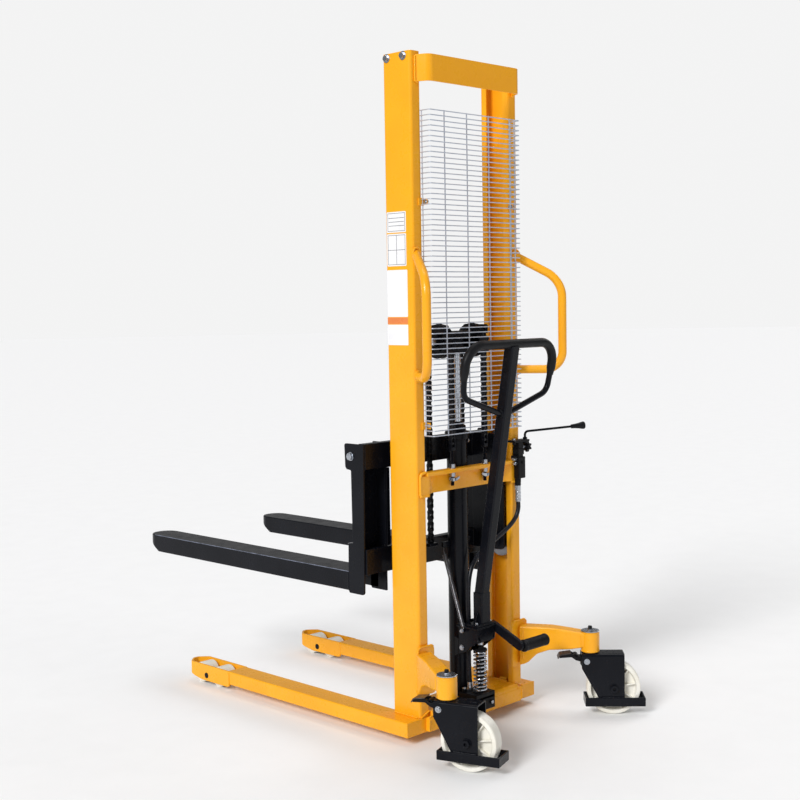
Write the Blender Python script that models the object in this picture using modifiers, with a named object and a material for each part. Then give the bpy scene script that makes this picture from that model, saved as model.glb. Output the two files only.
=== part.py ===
"""Walkie stacker: a hand-pumped mast truck. +Y points to the fork tips, +X to the operator's right, +Z up.

All sizes below are in millimetres and are turned into metres by the helpers. Y = 0 is the rear face of the
mast and X = 0 its centre line while the pieces are built; the whole machine is moved onto the origin last.
"""

from math import cos, pi, radians, sin, tan

import bmesh
import bpy
from mathutils import Matrix, Vector

MM = 0.001
NAME = "walkie_stacker"

MAST_HALF, MAST_DEPTH, MAST_TOP, MAST_WALL = 252, 119, 2154, 5
FLANGE, LIP = 44, 24.5
LEG_TOP, LEG_BOTTOM, LEG_OUT, LEG_IN = 75.6, 27, 315, 228
BEAM_END, HOUSING_TIP, HOUSING_WALL = 896, 1147, 8
BOGIE_Y, ROLLER_SPAN, ROLLER_R = 1024, 51, 37
KINGPIN_X, KINGPIN_Y, KINGPIN_BASE, KINGPIN_TOP, KINGPIN_R = 355, -212, 209, 277, 31.4
TRAIL, WHEEL_R, WHEEL_WIDTH = 75.7, 90, 50
YAW_LEFT, YAW_RIGHT = 19.4, 42.1
CYLINDER_Y, CYLINDER_R, CYLINDER_TOP, ROD_R = 57, 34, 997, 15
CHAIN_X, CHAIN_R, CHAIN_Y, CHAIN_Z = 79, 50, 56, 1260
BAR_REAR, BAR_FRONT, UPPER_BAR, LOWER_BAR = 160, 190, (860, 942), (523, 604)
FORK_OUT, FORK_IN, FORK_TOP, FORK_DEEP, FORK_TIP, FORK_WALL = 325, 219, 528, 63, 1362, 6
MAST_ROLLER_R, MAST_ROLLER_Z = 52, (573, 900)
PIVOT_Y, PIVOT_Z = 5, 263
PUMP_Y, PLUNGER_ROLLER_Z = -33, 275
STEM_HALF, STEM_BASE, STEM_LEAN = 18, (-45, 452), 0.173
SHELF_TOP, SHELF_UNDER = 854, 842
VALVE_X, VALVE_Y = 232.5, -15.5
SPINDLE = (251.5, -24)
HANDWHEEL_Z = 896
CLEAR = 0.3

COLOURS = {
    "yellow": (0.93, 0.48, 0.03),
    "black": (0.02, 0.022, 0.027),
    "chrome": (0.75, 0.76, 0.78),
    "zinc": (0.62, 0.64, 0.66),
    "nylon": (0.86, 0.84, 0.78),
    "rubber": (0.015, 0.015, 0.017),
    "steel": (0.35, 0.36, 0.38),
}

for old in list(bpy.data.objects):
    bpy.data.objects.remove(old)
model = bpy.data.collections.new(NAME)
helpers = bpy.data.collections.new("cutters")
bpy.context.scene.collection.children.link(model)
bpy.context.scene.collection.children.link(helpers)


def mesh_object(mesh):
    obj = bpy.data.objects.new("solid", mesh)
    helpers.objects.link(obj)
    obj.hide_render = True
    obj.display_type = "WIRE"
    return obj


def from_bmesh(bm):
    bmesh.ops.recalc_face_normals(bm, faces=bm.faces)
    mesh = bpy.data.meshes.new("solid")
    bm.to_mesh(mesh)
    bm.free()
    return mesh_object(mesh)


def box(x, y, z):
    """A block between the limits of each axis."""
    bm = bmesh.new()
    bmesh.ops.create_cube(bm, size=1)
    size = [(b - a) * MM for a, b in (x, y, z)]
    middle = [(a + b) / 2 * MM for a, b in (x, y, z)]
    bmesh.ops.transform(bm, matrix=Matrix.Translation(middle) @ Matrix.Diagonal((*size, 1)), verts=bm.verts)
    return from_bmesh(bm)


def prism(outline, axis, low, high):
    """An outline extruded along an axis. Its points are (y, z) for X, (x, z) for Y and (x, y) for Z."""
    place = {
        "X": lambda a, b: (low, a, b),
        "Y": lambda a, b: (a, low, b),
        "Z": lambda a, b: (a, b, low),
    }[axis]
    bm = bmesh.new()
    face = bm.faces.new([bm.verts.new(Vector(place(*p)) * MM) for p in outline])
    made = bmesh.ops.extrude_face_region(bm, geom=[face])["geom"]
    step = Vector([(high - low) * MM if axis == k else 0 for k in "XYZ"])
    bmesh.ops.translate(bm, vec=step, verts=[v for v in made if isinstance(v, bmesh.types.BMVert)])
    return from_bmesh(bm)


def cylinder(axis, centre, radius, low, high, sides=20, top=None):
    """A round bar along an axis. Its centre holds the two other coordinates, in axis order."""
    bm = bmesh.new()
    tip = radius if top is None else top
    bmesh.ops.create_cone(
        bm, cap_ends=True, segments=sides, radius1=radius * MM, radius2=tip * MM, depth=(high - low) * MM
    )
    middle = (low + high) / 2
    turn, at = {
        "X": (Matrix.Rotation(pi / 2, 4, "Y"), (middle, *centre)),
        "Y": (Matrix.Rotation(-pi / 2, 4, "X"), (centre[0], middle, centre[1])),
        "Z": (Matrix.Identity(4), (*centre, middle)),
    }[axis]
    bmesh.ops.transform(bm, matrix=Matrix.Translation(Vector(at) * MM) @ turn, verts=bm.verts)
    return from_bmesh(bm)


def lathe(outline, sides=20):
    """A closed (radius, x) outline turned once around the X axis."""
    bm = bmesh.new()
    verts = [bm.verts.new((x * MM, 0, r * MM)) for r, x in outline]
    edges = [bm.edges.new((verts[i], verts[(i + 1) % len(verts)])) for i in range(len(verts))]
    bmesh.ops.spin(
        bm, geom=verts + edges, cent=(0, 0, 0), axis=(1, 0, 0), angle=2 * pi, steps=sides, use_merge=True
    )
    bmesh.ops.remove_doubles(bm, verts=bm.verts, dist=1e-6)
    return from_bmesh(bm)


def filleted(corners, radii, step=18):
    """The corners joined by straight runs, with an arc of the given radius at each inner corner."""
    points = [Vector(corners[0])]
    for before, corner, after, radius in zip(corners, corners[1:], corners[2:], radii):
        corner = Vector(corner)
        a, b = (Vector(before) - corner).normalized(), (Vector(after) - corner).normalized()
        half = a.angle(b) / 2
        centre = corner + (a + b).normalized() * (radius / sin(half))
        start, end = corner + a * (radius / tan(half)), corner + b * (radius / tan(half))
        count = max(2, round(180 / step * (1 - 2 * half / pi)))
        for i in range(count + 1):
            along = (start - centre).normalized().slerp((end - centre).normalized(), i / count)
            points.append(centre + along * radius)
    return points + [Vector(corners[-1])]


def tube_curve(points, radius, resolution=2):
    """A round bar bent along the points, as a curve with closed ends."""
    curve = bpy.data.curves.new("tube", "CURVE")
    curve.dimensions = "3D"
    curve.bevel_depth = radius * MM
    curve.bevel_resolution = resolution
    curve.use_fill_caps = True
    line = curve.splines.new("POLY")
    line.points.add(len(points) - 1)
    for point, place in zip(line.points, points):
        point.co = (*(Vector(place) * MM), 1)
    return mesh_object(curve)


def tube(points, radius, resolution=2):
    """The same bar as a closed mesh, for joining to other solids."""
    source = tube_curve(points, radius, resolution)
    bpy.context.view_layer.update()
    mesh = bpy.data.meshes.new_from_object(source.evaluated_get(bpy.context.evaluated_depsgraph_get()))
    bpy.data.objects.remove(source)
    bm = bmesh.new()
    bm.from_mesh(mesh)
    bmesh.ops.remove_doubles(bm, verts=bm.verts, dist=1e-6)
    return from_bmesh(bm)


def node(name, finish, solids, cuts=(), origin=(0, 0, 0), bevel=0, smooth=False):
    """One named piece: the first solid joined to the others, less the cuts, with its origin where given."""
    obj, *others = solids
    obj.name = obj.data.name = name
    helpers.objects.unlink(obj)
    model.objects.link(obj)
    obj.hide_render = False
    obj.display_type = "TEXTURED"
    material = bpy.data.materials.new(name)
    material.use_nodes = True
    shader = material.node_tree.nodes["Principled BSDF"]
    shader.inputs["Base Color"].default_value = (*COLOURS[finish], 1)
    shader.inputs["Metallic"].default_value = 1.0 if finish in ("chrome", "zinc", "steel") else 0.0
    shader.inputs["Roughness"].default_value = 0.2 if finish == "chrome" else 0.5
    obj.data.materials.append(material)
    for kind, group in (("UNION", others), ("DIFFERENCE", cuts)):
        for other in group:
            other.name = f"{name}_{kind.lower()}"
            step = obj.modifiers.new(kind.title(), "BOOLEAN")
            step.operation, step.solver, step.object = kind, "EXACT", other
    if bevel:
        step = obj.modifiers.new("Edges", "BEVEL")
        step.width, step.segments, step.limit_method, step.angle_limit = bevel * MM, 1, "ANGLE", radians(60)
    if smooth:
        for face in getattr(obj.data, "polygons", ()):
            face.use_smooth = True
    start = Vector(origin) * MM
    obj.data.transform(Matrix.Translation(-start))
    obj.location = start
    return obj


def moved(made, matrix):
    """Moves solids that aren't yet, or already are, part of a node."""
    for obj in made:
        obj.matrix_world = matrix @ obj.matrix_basis
    return made


# Masts: lipped channels that open towards each other and stand on the legs.
def mast(name, side):
    web, toe, w = MAST_HALF, MAST_HALF - FLANGE, MAST_WALL
    outline = [
        (web, 0), (web, MAST_DEPTH), (toe, MAST_DEPTH), (toe, MAST_DEPTH - LIP), (toe + w, MAST_DEPTH - LIP),
        (toe + w, MAST_DEPTH - w), (web - w, MAST_DEPTH - w), (web - w, w), (toe + w, w), (toe + w, LIP),
        (toe, LIP), (toe, 0),
    ]
    section = [(side * x, y) for x, y in outline]
    node(name, "yellow", [prism(section, "Z", LEG_TOP + CLEAR, MAST_TOP)], bevel=2)


def bent_plate(outline, thick):
    """A strip of constant thickness that follows a line in plan, as a closed outline."""
    outer, inner = [], []
    for i, point in enumerate(outline):
        before = Vector(outline[max(i - 1, 0)])
        after = Vector(outline[min(i + 1, len(outline) - 1)])
        across = (after - before).normalized().orthogonal()
        outer.append(Vector(point))
        inner.append(Vector(point) + across * thick)
    return [tuple(p) for p in outer + inner[::-1]]


def cross_line(rear, foot, bend):
    """Plan line of a cross plate that stands off behind the masts, with rounded bends."""
    half = [(foot, -CLEAR), (bend + 7, rear * 0.66), (bend + 2, rear * 0.9), (bend - 8, rear)]
    return [(-x, y) for x, y in half] + half[::-1]


mast("mast_left", -1)
mast("mast_right", 1)
node(
    "top_crossbeam",
    "yellow",
    [prism(bent_plate(cross_line(-45, 232, 211), 6), "Z", MAST_TOP - 94, MAST_TOP - 12)],
    [box((-260, 260), (-CLEAR, 30), (MAST_TOP - 100, MAST_TOP))],
)
shelf = [box((-215, 215), (-14, 16), (SHELF_UNDER, SHELF_TOP)), box((-170, 170), (10, 22), (SHELF_UNDER, SHELF_TOP))]
half_line = [(236, -6.3), (199, -6.3), (166, 16.5)]
mid_line = [(-x, y) for x, y in half_line] + half_line[::-1]
plate = prism(bent_plate(mid_line, 5.4), "Z", 783, SHELF_UNDER + 1)
slots = [box(sorted((side * 202, side * 240)), (-CLEAR, 30), (700, 900)) for side in (-1, 1)]
rod_holes = [cylinder("Z", (side * CHAIN_X, 6), 6.4, 840, 860, 14) for side in (-1, 1)]
barrel_gap = cylinder("Z", (0, CYLINDER_Y), CYLINDER_R + 1, 840, 860, 24)
node("mid_crossmember", "yellow", shelf + [plate], slots + rod_holes + [barrel_gap])
node(
    "base_frame",
    "yellow",
    [
        box((-LEG_IN + CLEAR, LEG_IN - CLEAR), (-18, MAST_DEPTH), (30, LEG_TOP - CLEAR)),
        prism([(-17, 60), (-17, 84), (-9, 92), (MAST_DEPTH, 92), (MAST_DEPTH, 60)], "X", -207, 207),
    ],
)


# Legs: box beams whose front ends carry an open housing for the load rollers.
def leg(name, side):
    corner = 30
    plan = [
        (LEG_IN, 0), (LEG_OUT, 0), (LEG_OUT, HOUSING_TIP - corner), (LEG_OUT - corner, HOUSING_TIP),
        (LEG_IN + corner, HOUSING_TIP), (LEG_IN, HOUSING_TIP - corner),
    ]
    w = HOUSING_WALL
    pocket = [
        (LEG_IN + w, BEAM_END + 10), (LEG_OUT - w, BEAM_END + 10), (LEG_OUT - w, HOUSING_TIP - corner - 3),
        (LEG_OUT - corner - 3, HOUSING_TIP - w), (LEG_IN + corner + 3, HOUSING_TIP - w),
        (LEG_IN + w, HOUSING_TIP - corner - 3),
    ]
    under = [(1040, LEG_BOTTOM - 5), (1040, LEG_BOTTOM), (1085, LEG_BOTTOM + 4), (HOUSING_TIP + 2, 45), (HOUSING_TIP + 2, 20)]
    beam = prism([(side * x, y) for x, y in plan], "Z", LEG_BOTTOM, LEG_TOP)
    node(
        name,
        "yellow",
        [beam],
        [
            prism([(side * x, y) for x, y in pocket], "Z", 10, 90),
            prism(under, "X", *sorted((side * 200, side * 340))),
            cylinder("X", (BOGIE_Y, ROLLER_R), 9.6, *sorted((side * 200, side * 340)), 16),
        ],
        bevel=2.5,
    )


def bogie(side, name):
    inner, outer = LEG_IN + HOUSING_WALL + 0.7, LEG_OUT - HOUSING_WALL - 0.7
    ends = [(y, z) for y, z in ((BOGIE_Y - 64, 37), (BOGIE_Y - 56, 24), (BOGIE_Y + 56, 24), (BOGIE_Y + 64, 37))]
    ends += [(BOGIE_Y + 56, 50), (BOGIE_Y - 56, 50)]
    spans = [(inner, inner + 3.8), (outer - 3.8, outer)]
    plates = [prism(ends, "X", *sorted((side * a, side * b))) for a, b in spans]
    axles = [
        cylinder("X", (BOGIE_Y + s * ROLLER_SPAN, ROLLER_R), 8, *sorted((side * (inner + 1), side * (outer - 1))), 14)
        for s in (-1, 1)
    ]
    pin = cylinder("X", (BOGIE_Y, ROLLER_R), 9, *sorted((side * (LEG_IN + 1), side * (LEG_OUT - 1.5))), 16)
    node(name, "steel", [pin] + plates + axles, origin=(side * (LEG_IN + LEG_OUT) / 2, BOGIE_Y, ROLLER_R))


def load_roller(name, side, y):
    low, high = LEG_IN + HOUSING_WALL + 5.5, LEG_OUT - HOUSING_WALL - 5.5
    outline = [
        (8.1, low), (ROLLER_R - 3, low), (ROLLER_R, low + 3), (ROLLER_R, high - 3), (ROLLER_R - 3, high), (8.1, high),
    ]
    ring = lathe([(r, side * x) for r, x in outline], 20)
    ring.data.transform(Matrix.Translation((0, y * MM, ROLLER_R * MM)))
    node(name, "nylon", [ring], origin=(side * (low + high) / 2, y, ROLLER_R), smooth=True)


for side, label in ((-1, "left"), (1, "right")):
    leg(f"leg_{label}", side)
    bogie(side, f"bogie_{label}")
    load_roller(f"load_roller_rear_{label}", side, BOGIE_Y - ROLLER_SPAN)
    load_roller(f"load_roller_front_{label}", side, BOGIE_Y + ROLLER_SPAN)


# Outriggers: a deep arm from the mast foot to the kingpin housing, arched underneath to clear the brake lever.
def outrigger(name, side):
    start, reach = Vector((side * 240, -6)), Vector((side * KINGPIN_X, KINGPIN_Y))
    run = (reach - start).length
    profile = [
        (0, 158), (16, 158), (34, 172), (62, 197), (100, 211), (run - 60, 218), (run - 20, 226), (run - 12, 274),
        (run - 70, 283), (run - 130, 288), (0, 288),
    ]
    arm = prism(profile, "Y", -27, 27)
    along = (reach - start).normalized()
    turn = Matrix(((along.x, -along.y, 0, start.x * MM), (along.y, along.x, 0, start.y * MM), (0, 0, 1, 0), (0, 0, 0, 1)))
    arm.data.transform(turn)
    housing = cylinder("Z", (side * KINGPIN_X, KINGPIN_Y), KINGPIN_R, KINGPIN_BASE, KINGPIN_TOP, 24)
    lug_outline = [(192, 150), (268, 150), (268, 300), (258, 306), (202, 306), (192, 300)]
    lug = prism([(side * x, z) for x, z in lug_outline], "Y", -10, -CLEAR)
    bore = cylinder("Z", (side * KINGPIN_X, KINGPIN_Y), 12.5, 190, 300, 20)
    forward = box(sorted((side * 150, side * 330)), (-CLEAR, 40), (140, 320))
    node(name, "yellow", [housing, arm, lug], [forward, bore])


# Casters: a folded fork with a foot guard, an offset wheel and a toe brake. Local -Y is the trailing side.
def caster(label, side, yaw):
    place = Matrix.Translation(Vector((side * KINGPIN_X, KINGPIN_Y, 0)) * MM) @ Matrix.Rotation(radians(yaw), 4, "Z")
    cheek = [(30.8, 206.8), (30.8, 158), (-27, 54), (-110.8, 54), (-110.8, 206.8)]
    axle_at, brake_at = (-TRAIL, WHEEL_R), (14, 182)
    solids = [box((-35, 35), (-111, 31), (202, 207)), prism(cheek, "X", 30, 34.8), prism(cheek, "X", -34.8, -30)]
    for x in ((34, 41), (-41, -34)):
        solids.append(box(x, (-180, 20), (31, 60)))
    for y in ((15, 19.8), (-179.8, -175)):
        solids.append(box((-40.8, 40.8), y, (31.2, 59.8)))
    solids += [
        cylinder("X", axle_at, 10, -46, 46, 16),
        cylinder("X", axle_at, 15, 34, 42, 6),
        cylinder("X", axle_at, 15, -42, -34, 6),
        cylinder("X", brake_at, 5, -40, 40, 16),
        cylinder("X", brake_at, 9, 34, 38.5, 6),
        cylinder("X", brake_at, 9, -38.5, -34, 6),
        cylinder("Z", (0, 0), 12, 203, 283, 20),
        cylinder("Z", (0, 0), 27, 206, KINGPIN_BASE - CLEAR, 20),
        cylinder("Z", (0, 0), 31, KINGPIN_TOP + CLEAR, KINGPIN_TOP + 5, 24),
        cylinder("Z", (0, 0), 8, KINGPIN_TOP + 4, KINGPIN_TOP + 19, 16),
    ]
    fork = node(f"caster_fork_{label}", "black", solids)
    w = WHEEL_WIDTH / 2
    outline = [
        (8, -w - 3), (24, -w - 3), (24, -7), (70, -7), (76, -w), (87, -w), (WHEEL_R, -w + 4), (WHEEL_R, w - 4),
        (87, w), (76, w), (70, 7), (24, 7), (24, w + 3), (8, w + 3),
    ]
    disc = lathe(outline, 24)
    ribs = []
    for i in range(4):
        rib = box((-w + 4 + i / 5, w - 4 - i / 5), (-2.5, 2.5), (-79, 79))
        rib.data.transform(Matrix.Rotation(i * pi / 4, 4, "X"))
        ribs.append(rib)
    bore = cylinder("X", (0, 0), 10.4, -40, 40, 20)
    shift = Matrix.Translation((0, -TRAIL * MM, WHEEL_R * MM))
    for obj in [disc, bore] + ribs:
        obj.data.transform(shift)
    wheel = node(
        f"caster_wheel_{label}", "nylon", [disc] + ribs, [bore], origin=(0, -TRAIL, WHEEL_R), smooth=True
    )
    lever = [
        (108, 190), (106, 198), (62, 205), (46, 194), (24, 193), (14, 197), (4, 190), (-4, 162), (-2, 151), (8, 146), (18, 156),
        (24, 176), (48, 182), (64, 193),
    ]
    hole = cylinder("X", brake_at, 5.1, -40, 40, 16)
    brake = node(
        f"brake_lever_{label}", "black", [prism(lever, "X", -20, 20)], [hole], origin=(0, *brake_at)
    )
    pieces = [fork, wheel, brake] + [m.object for n in (fork, wheel, brake) for m in n.modifiers]
    moved(pieces, place)


outrigger("outrigger_left", -1)
outrigger("outrigger_right", 1)
caster("left", -1, YAW_LEFT)
caster("right", 1, YAW_RIGHT)


# Wire guard: a bent panel of crossed wires behind the masts, welded where they cross.
def wire_guard():
    half, rear, wire, low, high, rows = 212, -38, 4, 970, 1976, 8
    line = [(-half, -CLEAR - 2), (-half, -CLEAR - 2 - wire), (-half, rear + 8), (-half + 8, rear)]
    for x in (-145, -41, 63, 167):
        line += [(x, rear), (x + wire, rear)]
    line += [(half - 8, rear), (half, rear + 8), (half, -CLEAR - 2 - wire), (half, -CLEAR - 2)]
    upright = {0, 4, 6, 8, 10, 14}
    pitch = (high - low - wire) / (rows - 1)
    levels = [z for i in range(rows) for z in (low + i * pitch, low + i * pitch + wire)]
    bm = bmesh.new()
    grid = [[bm.verts.new(Vector((x, y, z)) * MM) for x, y in line] for z in levels]
    for row in range(len(levels) - 1):
        for column in range(len(line) - 1):
            if row % 2 == 0 or column in upright:
                corners = [grid[row][column], grid[row][column + 1], grid[row + 1][column + 1], grid[row + 1][column]]
                bm.faces.new(corners)
    panel = from_bmesh(bm)
    guard = node("wire_guard", "zinc", [panel])
    step = guard.modifiers.new("Wire", "SOLIDIFY")
    step.thickness, step.offset = wire * 0.75 * MM, 0


wire_guard()


# Push handles, bent from round tube and welded to the rear flanges of the masts.
for side, label in ((-1, "left"), (1, "right")):
    path = [(side * 233, 9, 1541), (side * 328, -126, 1452), (side * 328, -126, 1157), (side * 233, 9, 1157)]
    flush = box(sorted((side * 200, side * 280)), (-CLEAR, 60), (1100, 1600))
    bar = tube(filleted(path, (95, 58)), 14, 3)
    node(f"push_handle_{label}", "yellow", [bar], [flush], smooth=True)

# Lift cylinder, with the cheeks that carry the tiller and a lug for its return spring.
barrel = cylinder("Z", (0, CYLINDER_Y), CYLINDER_R, 92 + CLEAR, 958, 24)
gland = [cylinder("Z", (0, CYLINDER_Y), r, a, b, 24) for r, a, b in ((40, 940, 968), (30, 960, 985), (22, 980, 997))]
cheek_outline = [(50, 226), (50, 292), (2, 277), (-8, 263), (2, 249)]
cheeks = [prism(cheek_outline, "X", *sorted((s * 27, s * 33))) for s in (-1, 1)]
pivots = [cylinder("X", (PIVOT_Y, PIVOT_Z), 7, *sorted((s * 30, s * 46)), 16) for s in (-1, 1)]
heads = [cylinder("X", (PIVOT_Y, PIVOT_Z), 11, *sorted((s * 44.5, s * 51)), 6) for s in (-1, 1)]
lug = box((-52, -20), (50, 58), (592, 612))
node(
    "lift_cylinder",
    "black",
    [barrel] + gland + cheeks + pivots + heads + [lug],
    [cylinder("Z", (0, CYLINDER_Y), ROD_R + 0.1, 110, 1010, 20)],
)
rod = cylinder("Z", (0, CYLINDER_Y), ROD_R, 336, 1238, 20)
node("lift_rod", "chrome", [rod], origin=(0, CYLINDER_Y, 1238), smooth=True)

# Crosshead: carries both chain wheels on one axle, above the rod.
cheek = [(8, 1282), (42, 1282), (46, 1246), (66, 1246), (70, 1282), (98, 1282), (98, 1306), (92, 1312), (14, 1312), (8, 1306)]
node(
    "crosshead",
    "black",
    [
        box((-50, 50), (26, 88), (1238 + CLEAR, 1292)),
        prism(cheek, "X", 98, 106),
        prism(cheek, "X", -106, -98),
        box((-86, 86), (-12, -5), (1222, 1274)),
        box((-40, 40), (-12, 30), (1240, 1274)),
        cylinder("X", (CHAIN_Y, CHAIN_Z), 14, -100, 100, 20),
    ],
    origin=(0, CHAIN_Y, CHAIN_Z),
)


def chain(label, side):
    low, high = side * CHAIN_X - 7, side * CHAIN_X + 7
    groove, rim = CHAIN_R - 6 - CLEAR, CHAIN_R + 7
    outline = [
        (14.5, -13), (rim, -13), (rim, -9), (groove, -8), (groove, 8), (rim, 9), (rim, 13), (14.5, 13),
    ]
    wheel = lathe([(r, side * CHAIN_X + x) for r, x in outline], 24)
    wheel.data.transform(Matrix.Translation((0, CHAIN_Y * MM, CHAIN_Z * MM)))
    node(f"chain_wheel_{label}", "black", [wheel], origin=(side * CHAIN_X, CHAIN_Y, CHAIN_Z), smooth=True)
    arc = [(CHAIN_Y + r * cos(t * pi / 14), CHAIN_Z + r * sin(t * pi / 14)) for r in (56,) for t in range(15)]
    arc += [(CHAIN_Y + 44 * cos(t * pi / 14), CHAIN_Z + 44 * sin(t * pi / 14)) for t in range(14, -1, -1)]
    node(f"chain_wrap_{label}", "steel", [prism(arc, "X", low, high)], origin=(side * CHAIN_X, CHAIN_Y, CHAIN_Z))
    rear, front = CHAIN_Y - CHAIN_R, CHAIN_Y + CHAIN_R
    node(f"chain_rear_{label}", "steel", [box((low, high), (rear - 6, rear + 6), (946, CHAIN_Z - CLEAR))])
    node(f"chain_front_{label}", "steel", [box((low, high), (front - 6, front + 6), (601, CHAIN_Z - CLEAR))])
    at = (side * CHAIN_X, rear)
    node(
        f"anchor_rod_{label}",
        "zinc",
        [
            cylinder("Z", at, 6, 800, 930, 16),
            cylinder("Z", at, 10, SHELF_TOP + CLEAR, SHELF_TOP + 12, 6),
            cylinder("Z", at, 10, SHELF_UNDER - 20, SHELF_UNDER - CLEAR, 6),
            box((side * CHAIN_X - 9, side * CHAIN_X + 9), (rear - 6, rear + 6), (918, 945.7)),
        ],
    )


chain("left", -1)
chain("right", 1)


# Carriage: two cross bars on roller plates, with a fork weldment at each end.
def carriage():
    solids = [box((-318.6, 318.6), (BAR_REAR, BAR_FRONT), span) for span in (UPPER_BAR, LOWER_BAR)]
    for side in (-1, 1):
        solids.append(box(sorted((side * 191, side * 199)), (24, 161), (LOWER_BAR[0] + 24, UPPER_BAR[1] - 1)))
        solids.append(box(sorted((side * 60, side * 98)), (92, 161), (590, 600.7)))
        for z in MAST_ROLLER_Z:
            solids.append(cylinder("X", (MAST_DEPTH / 2, z), 14, *sorted((side * 196, side * 243)), 16))
    node("carriage_frame", "black", solids)


def mast_roller(name, side, z):
    outline = [
        (14.5, 215), (MAST_ROLLER_R - 2, 215), (MAST_ROLLER_R, 217), (MAST_ROLLER_R, 241), (MAST_ROLLER_R - 2, 243),
        (14.5, 243),
    ]
    ring = lathe([(r, side * x) for r, x in outline], 24)
    ring.data.transform(Matrix.Translation((0, MAST_DEPTH / 2 * MM, z * MM)))
    node(name, "steel", [ring], origin=(side * 229, MAST_DEPTH / 2, z), smooth=True)


def fork(name, side):
    under = FORK_TOP - FORK_DEEP
    outer = [
        (161, 941), (249, 941), (246, 866), (240, 858), (220, 856), (218, 622), (238, 619), (241, under + 2),
        (236, 458), (168, 458),
    ]
    inner = [
        (190.6, 941), (222, 941), (218, 622), (238, 619), (241, under + 2), (236, 458), (168, 458), (168, 522.5),
        (190.6, 522.5), (190.6, 604.5), (166, 604.5), (166, 859.5), (190.6, 859.5),
    ]
    middle, nose = (FORK_IN + FORK_OUT) / 2, 34
    plan = [(FORK_IN, 206), (FORK_OUT, 206), (FORK_OUT, FORK_TIP - nose)]
    for i in range(1, 6):
        t = i * pi / 6
        plan.append((middle + (FORK_OUT - middle) * cos(t), FORK_TIP - nose + nose * sin(t)))
    plan.append((FORK_IN, FORK_TIP - nose))
    blade = prism([(side * x, y) for x, y in plan], "Z", under, FORK_TOP)
    wall = FORK_WALL
    solids = [
        blade,
        prism(outer, "X", *sorted((side * (FORK_OUT - wall), side * FORK_OUT))),
        prism(inner, "X", *sorted((side * FORK_IN, side * (FORK_IN + wall)))),
        box(sorted((side * (FORK_IN + 1), side * (FORK_OUT - 1))), (206, 212), (FORK_TOP - 5, 938)),
        cylinder("X", (226, 900), 13, *sorted((side * (FORK_OUT - 1), side * (FORK_OUT + 9))), 6),
    ]
    channel = box(sorted((side * (FORK_IN + wall), side * (FORK_OUT - wall))), (150, FORK_TIP - 60), (400, FORK_TOP - wall))
    bevel = [(FORK_TIP - 75, under - 5), (FORK_TIP - 75, under), (FORK_TIP + 5, FORK_TOP - 14), (FORK_TIP + 5, under - 5)]
    node(name, "black", solids, [channel, prism(bevel, "X", *sorted((side * 200, side * 340)))])


carriage()
for side, label in ((-1, "left"), (1, "right")):
    fork(f"fork_{label}", side)
    mast_roller(f"mast_roller_lower_{label}", side, MAST_ROLLER_Z[0])
    mast_roller(f"mast_roller_upper_{label}", side, MAST_ROLLER_Z[1])

# Pump: block, plunger with its roller, and the coil spring around the plunger.
pump = [box((-46, 46), (-56, 22), (92 + CLEAR, 114)), box((-46, 46), (-56, -18 - CLEAR), (58, 100))]
node("pump_block", "black", pump, [cylinder("Z", (0, PUMP_Y), 9.3, 64, 130, 16)])
plunger = [
    cylinder("Z", (0, PUMP_Y), 9, 97, 258, 16),
    cylinder("Z", (0, PUMP_Y), 19, 252, 258, 20),
    box((-11, 11), (PUMP_Y - 8, PUMP_Y + 8), (257, 272)),
    cylinder("X", (PUMP_Y, PLUNGER_ROLLER_Z), 11, -14, 14, 16),
]
node("plunger", "steel", plunger, origin=(0, PUMP_Y, PLUNGER_ROLLER_Z))
coil, turns = [], 10
for i in range(turns * 8 + 1):
    t = i / 8
    coil.append((17.5 * cos(t * 2 * pi), PUMP_Y + 17.5 * sin(t * 2 * pi), 117 + (249 - 117) * t / turns))
node("pump_spring", "chrome", [tube_curve(coil, 2, 0)])

# Tiller: rocker on the pivots, leaning stem with a loop at the top, grip, foot pedal and return spring.
rocker_side = [(-62, 338), (20, 338), (19, 290), (17, 254), (5, 249), (-6, 254), (-58, 290)]
rocker = [box((-45.5, 45.5), (-62, 20), (337, 345))]
rocker += [prism(rocker_side, "X", *sorted((s * 38, s * 44))) for s in (-1, 1)]
rocker += [
    box((-39, 39), (-58, -14), (288, 296)),
    box((-21, 21), (-62, -24), (344, 430)),
    cylinder("X", (-6, 322), 5, -58, -43, 16),
    prism([(-30, 322), (-44, 344), (-60, 338), (-170, 288), (-172, 268), (-158, 266), (-44, 318)], "X", 43, 55),
    cylinder("X", (-166, 277), 9, 50, 176, 14),
]
pivot_holes = [cylinder("X", (PIVOT_Y, PIVOT_Z), 7.7, *sorted((s * 36, s * 46)), 16) for s in (-1, 1)]
tiller_origin = (0, PIVOT_Y, PIVOT_Z)
hose_notch = box((-30, 14), (-13, 40), (330, 350))
node("tiller_rocker", "black", rocker, pivot_holes + [hose_notch], origin=tiller_origin)
pad = cylinder("X", (-166, 277), 19, 57, 173, 20)
node("foot_pedal", "rubber", [pad], [cylinder("X", (-166, 277), 9.1, 50, 180, 14)], origin=tiller_origin)


def lean(x, z):
    """A point on the plane of the leaning stem."""
    return (x, STEM_BASE[0] - STEM_LEAN * (z - STEM_BASE[1]), z)


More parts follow.
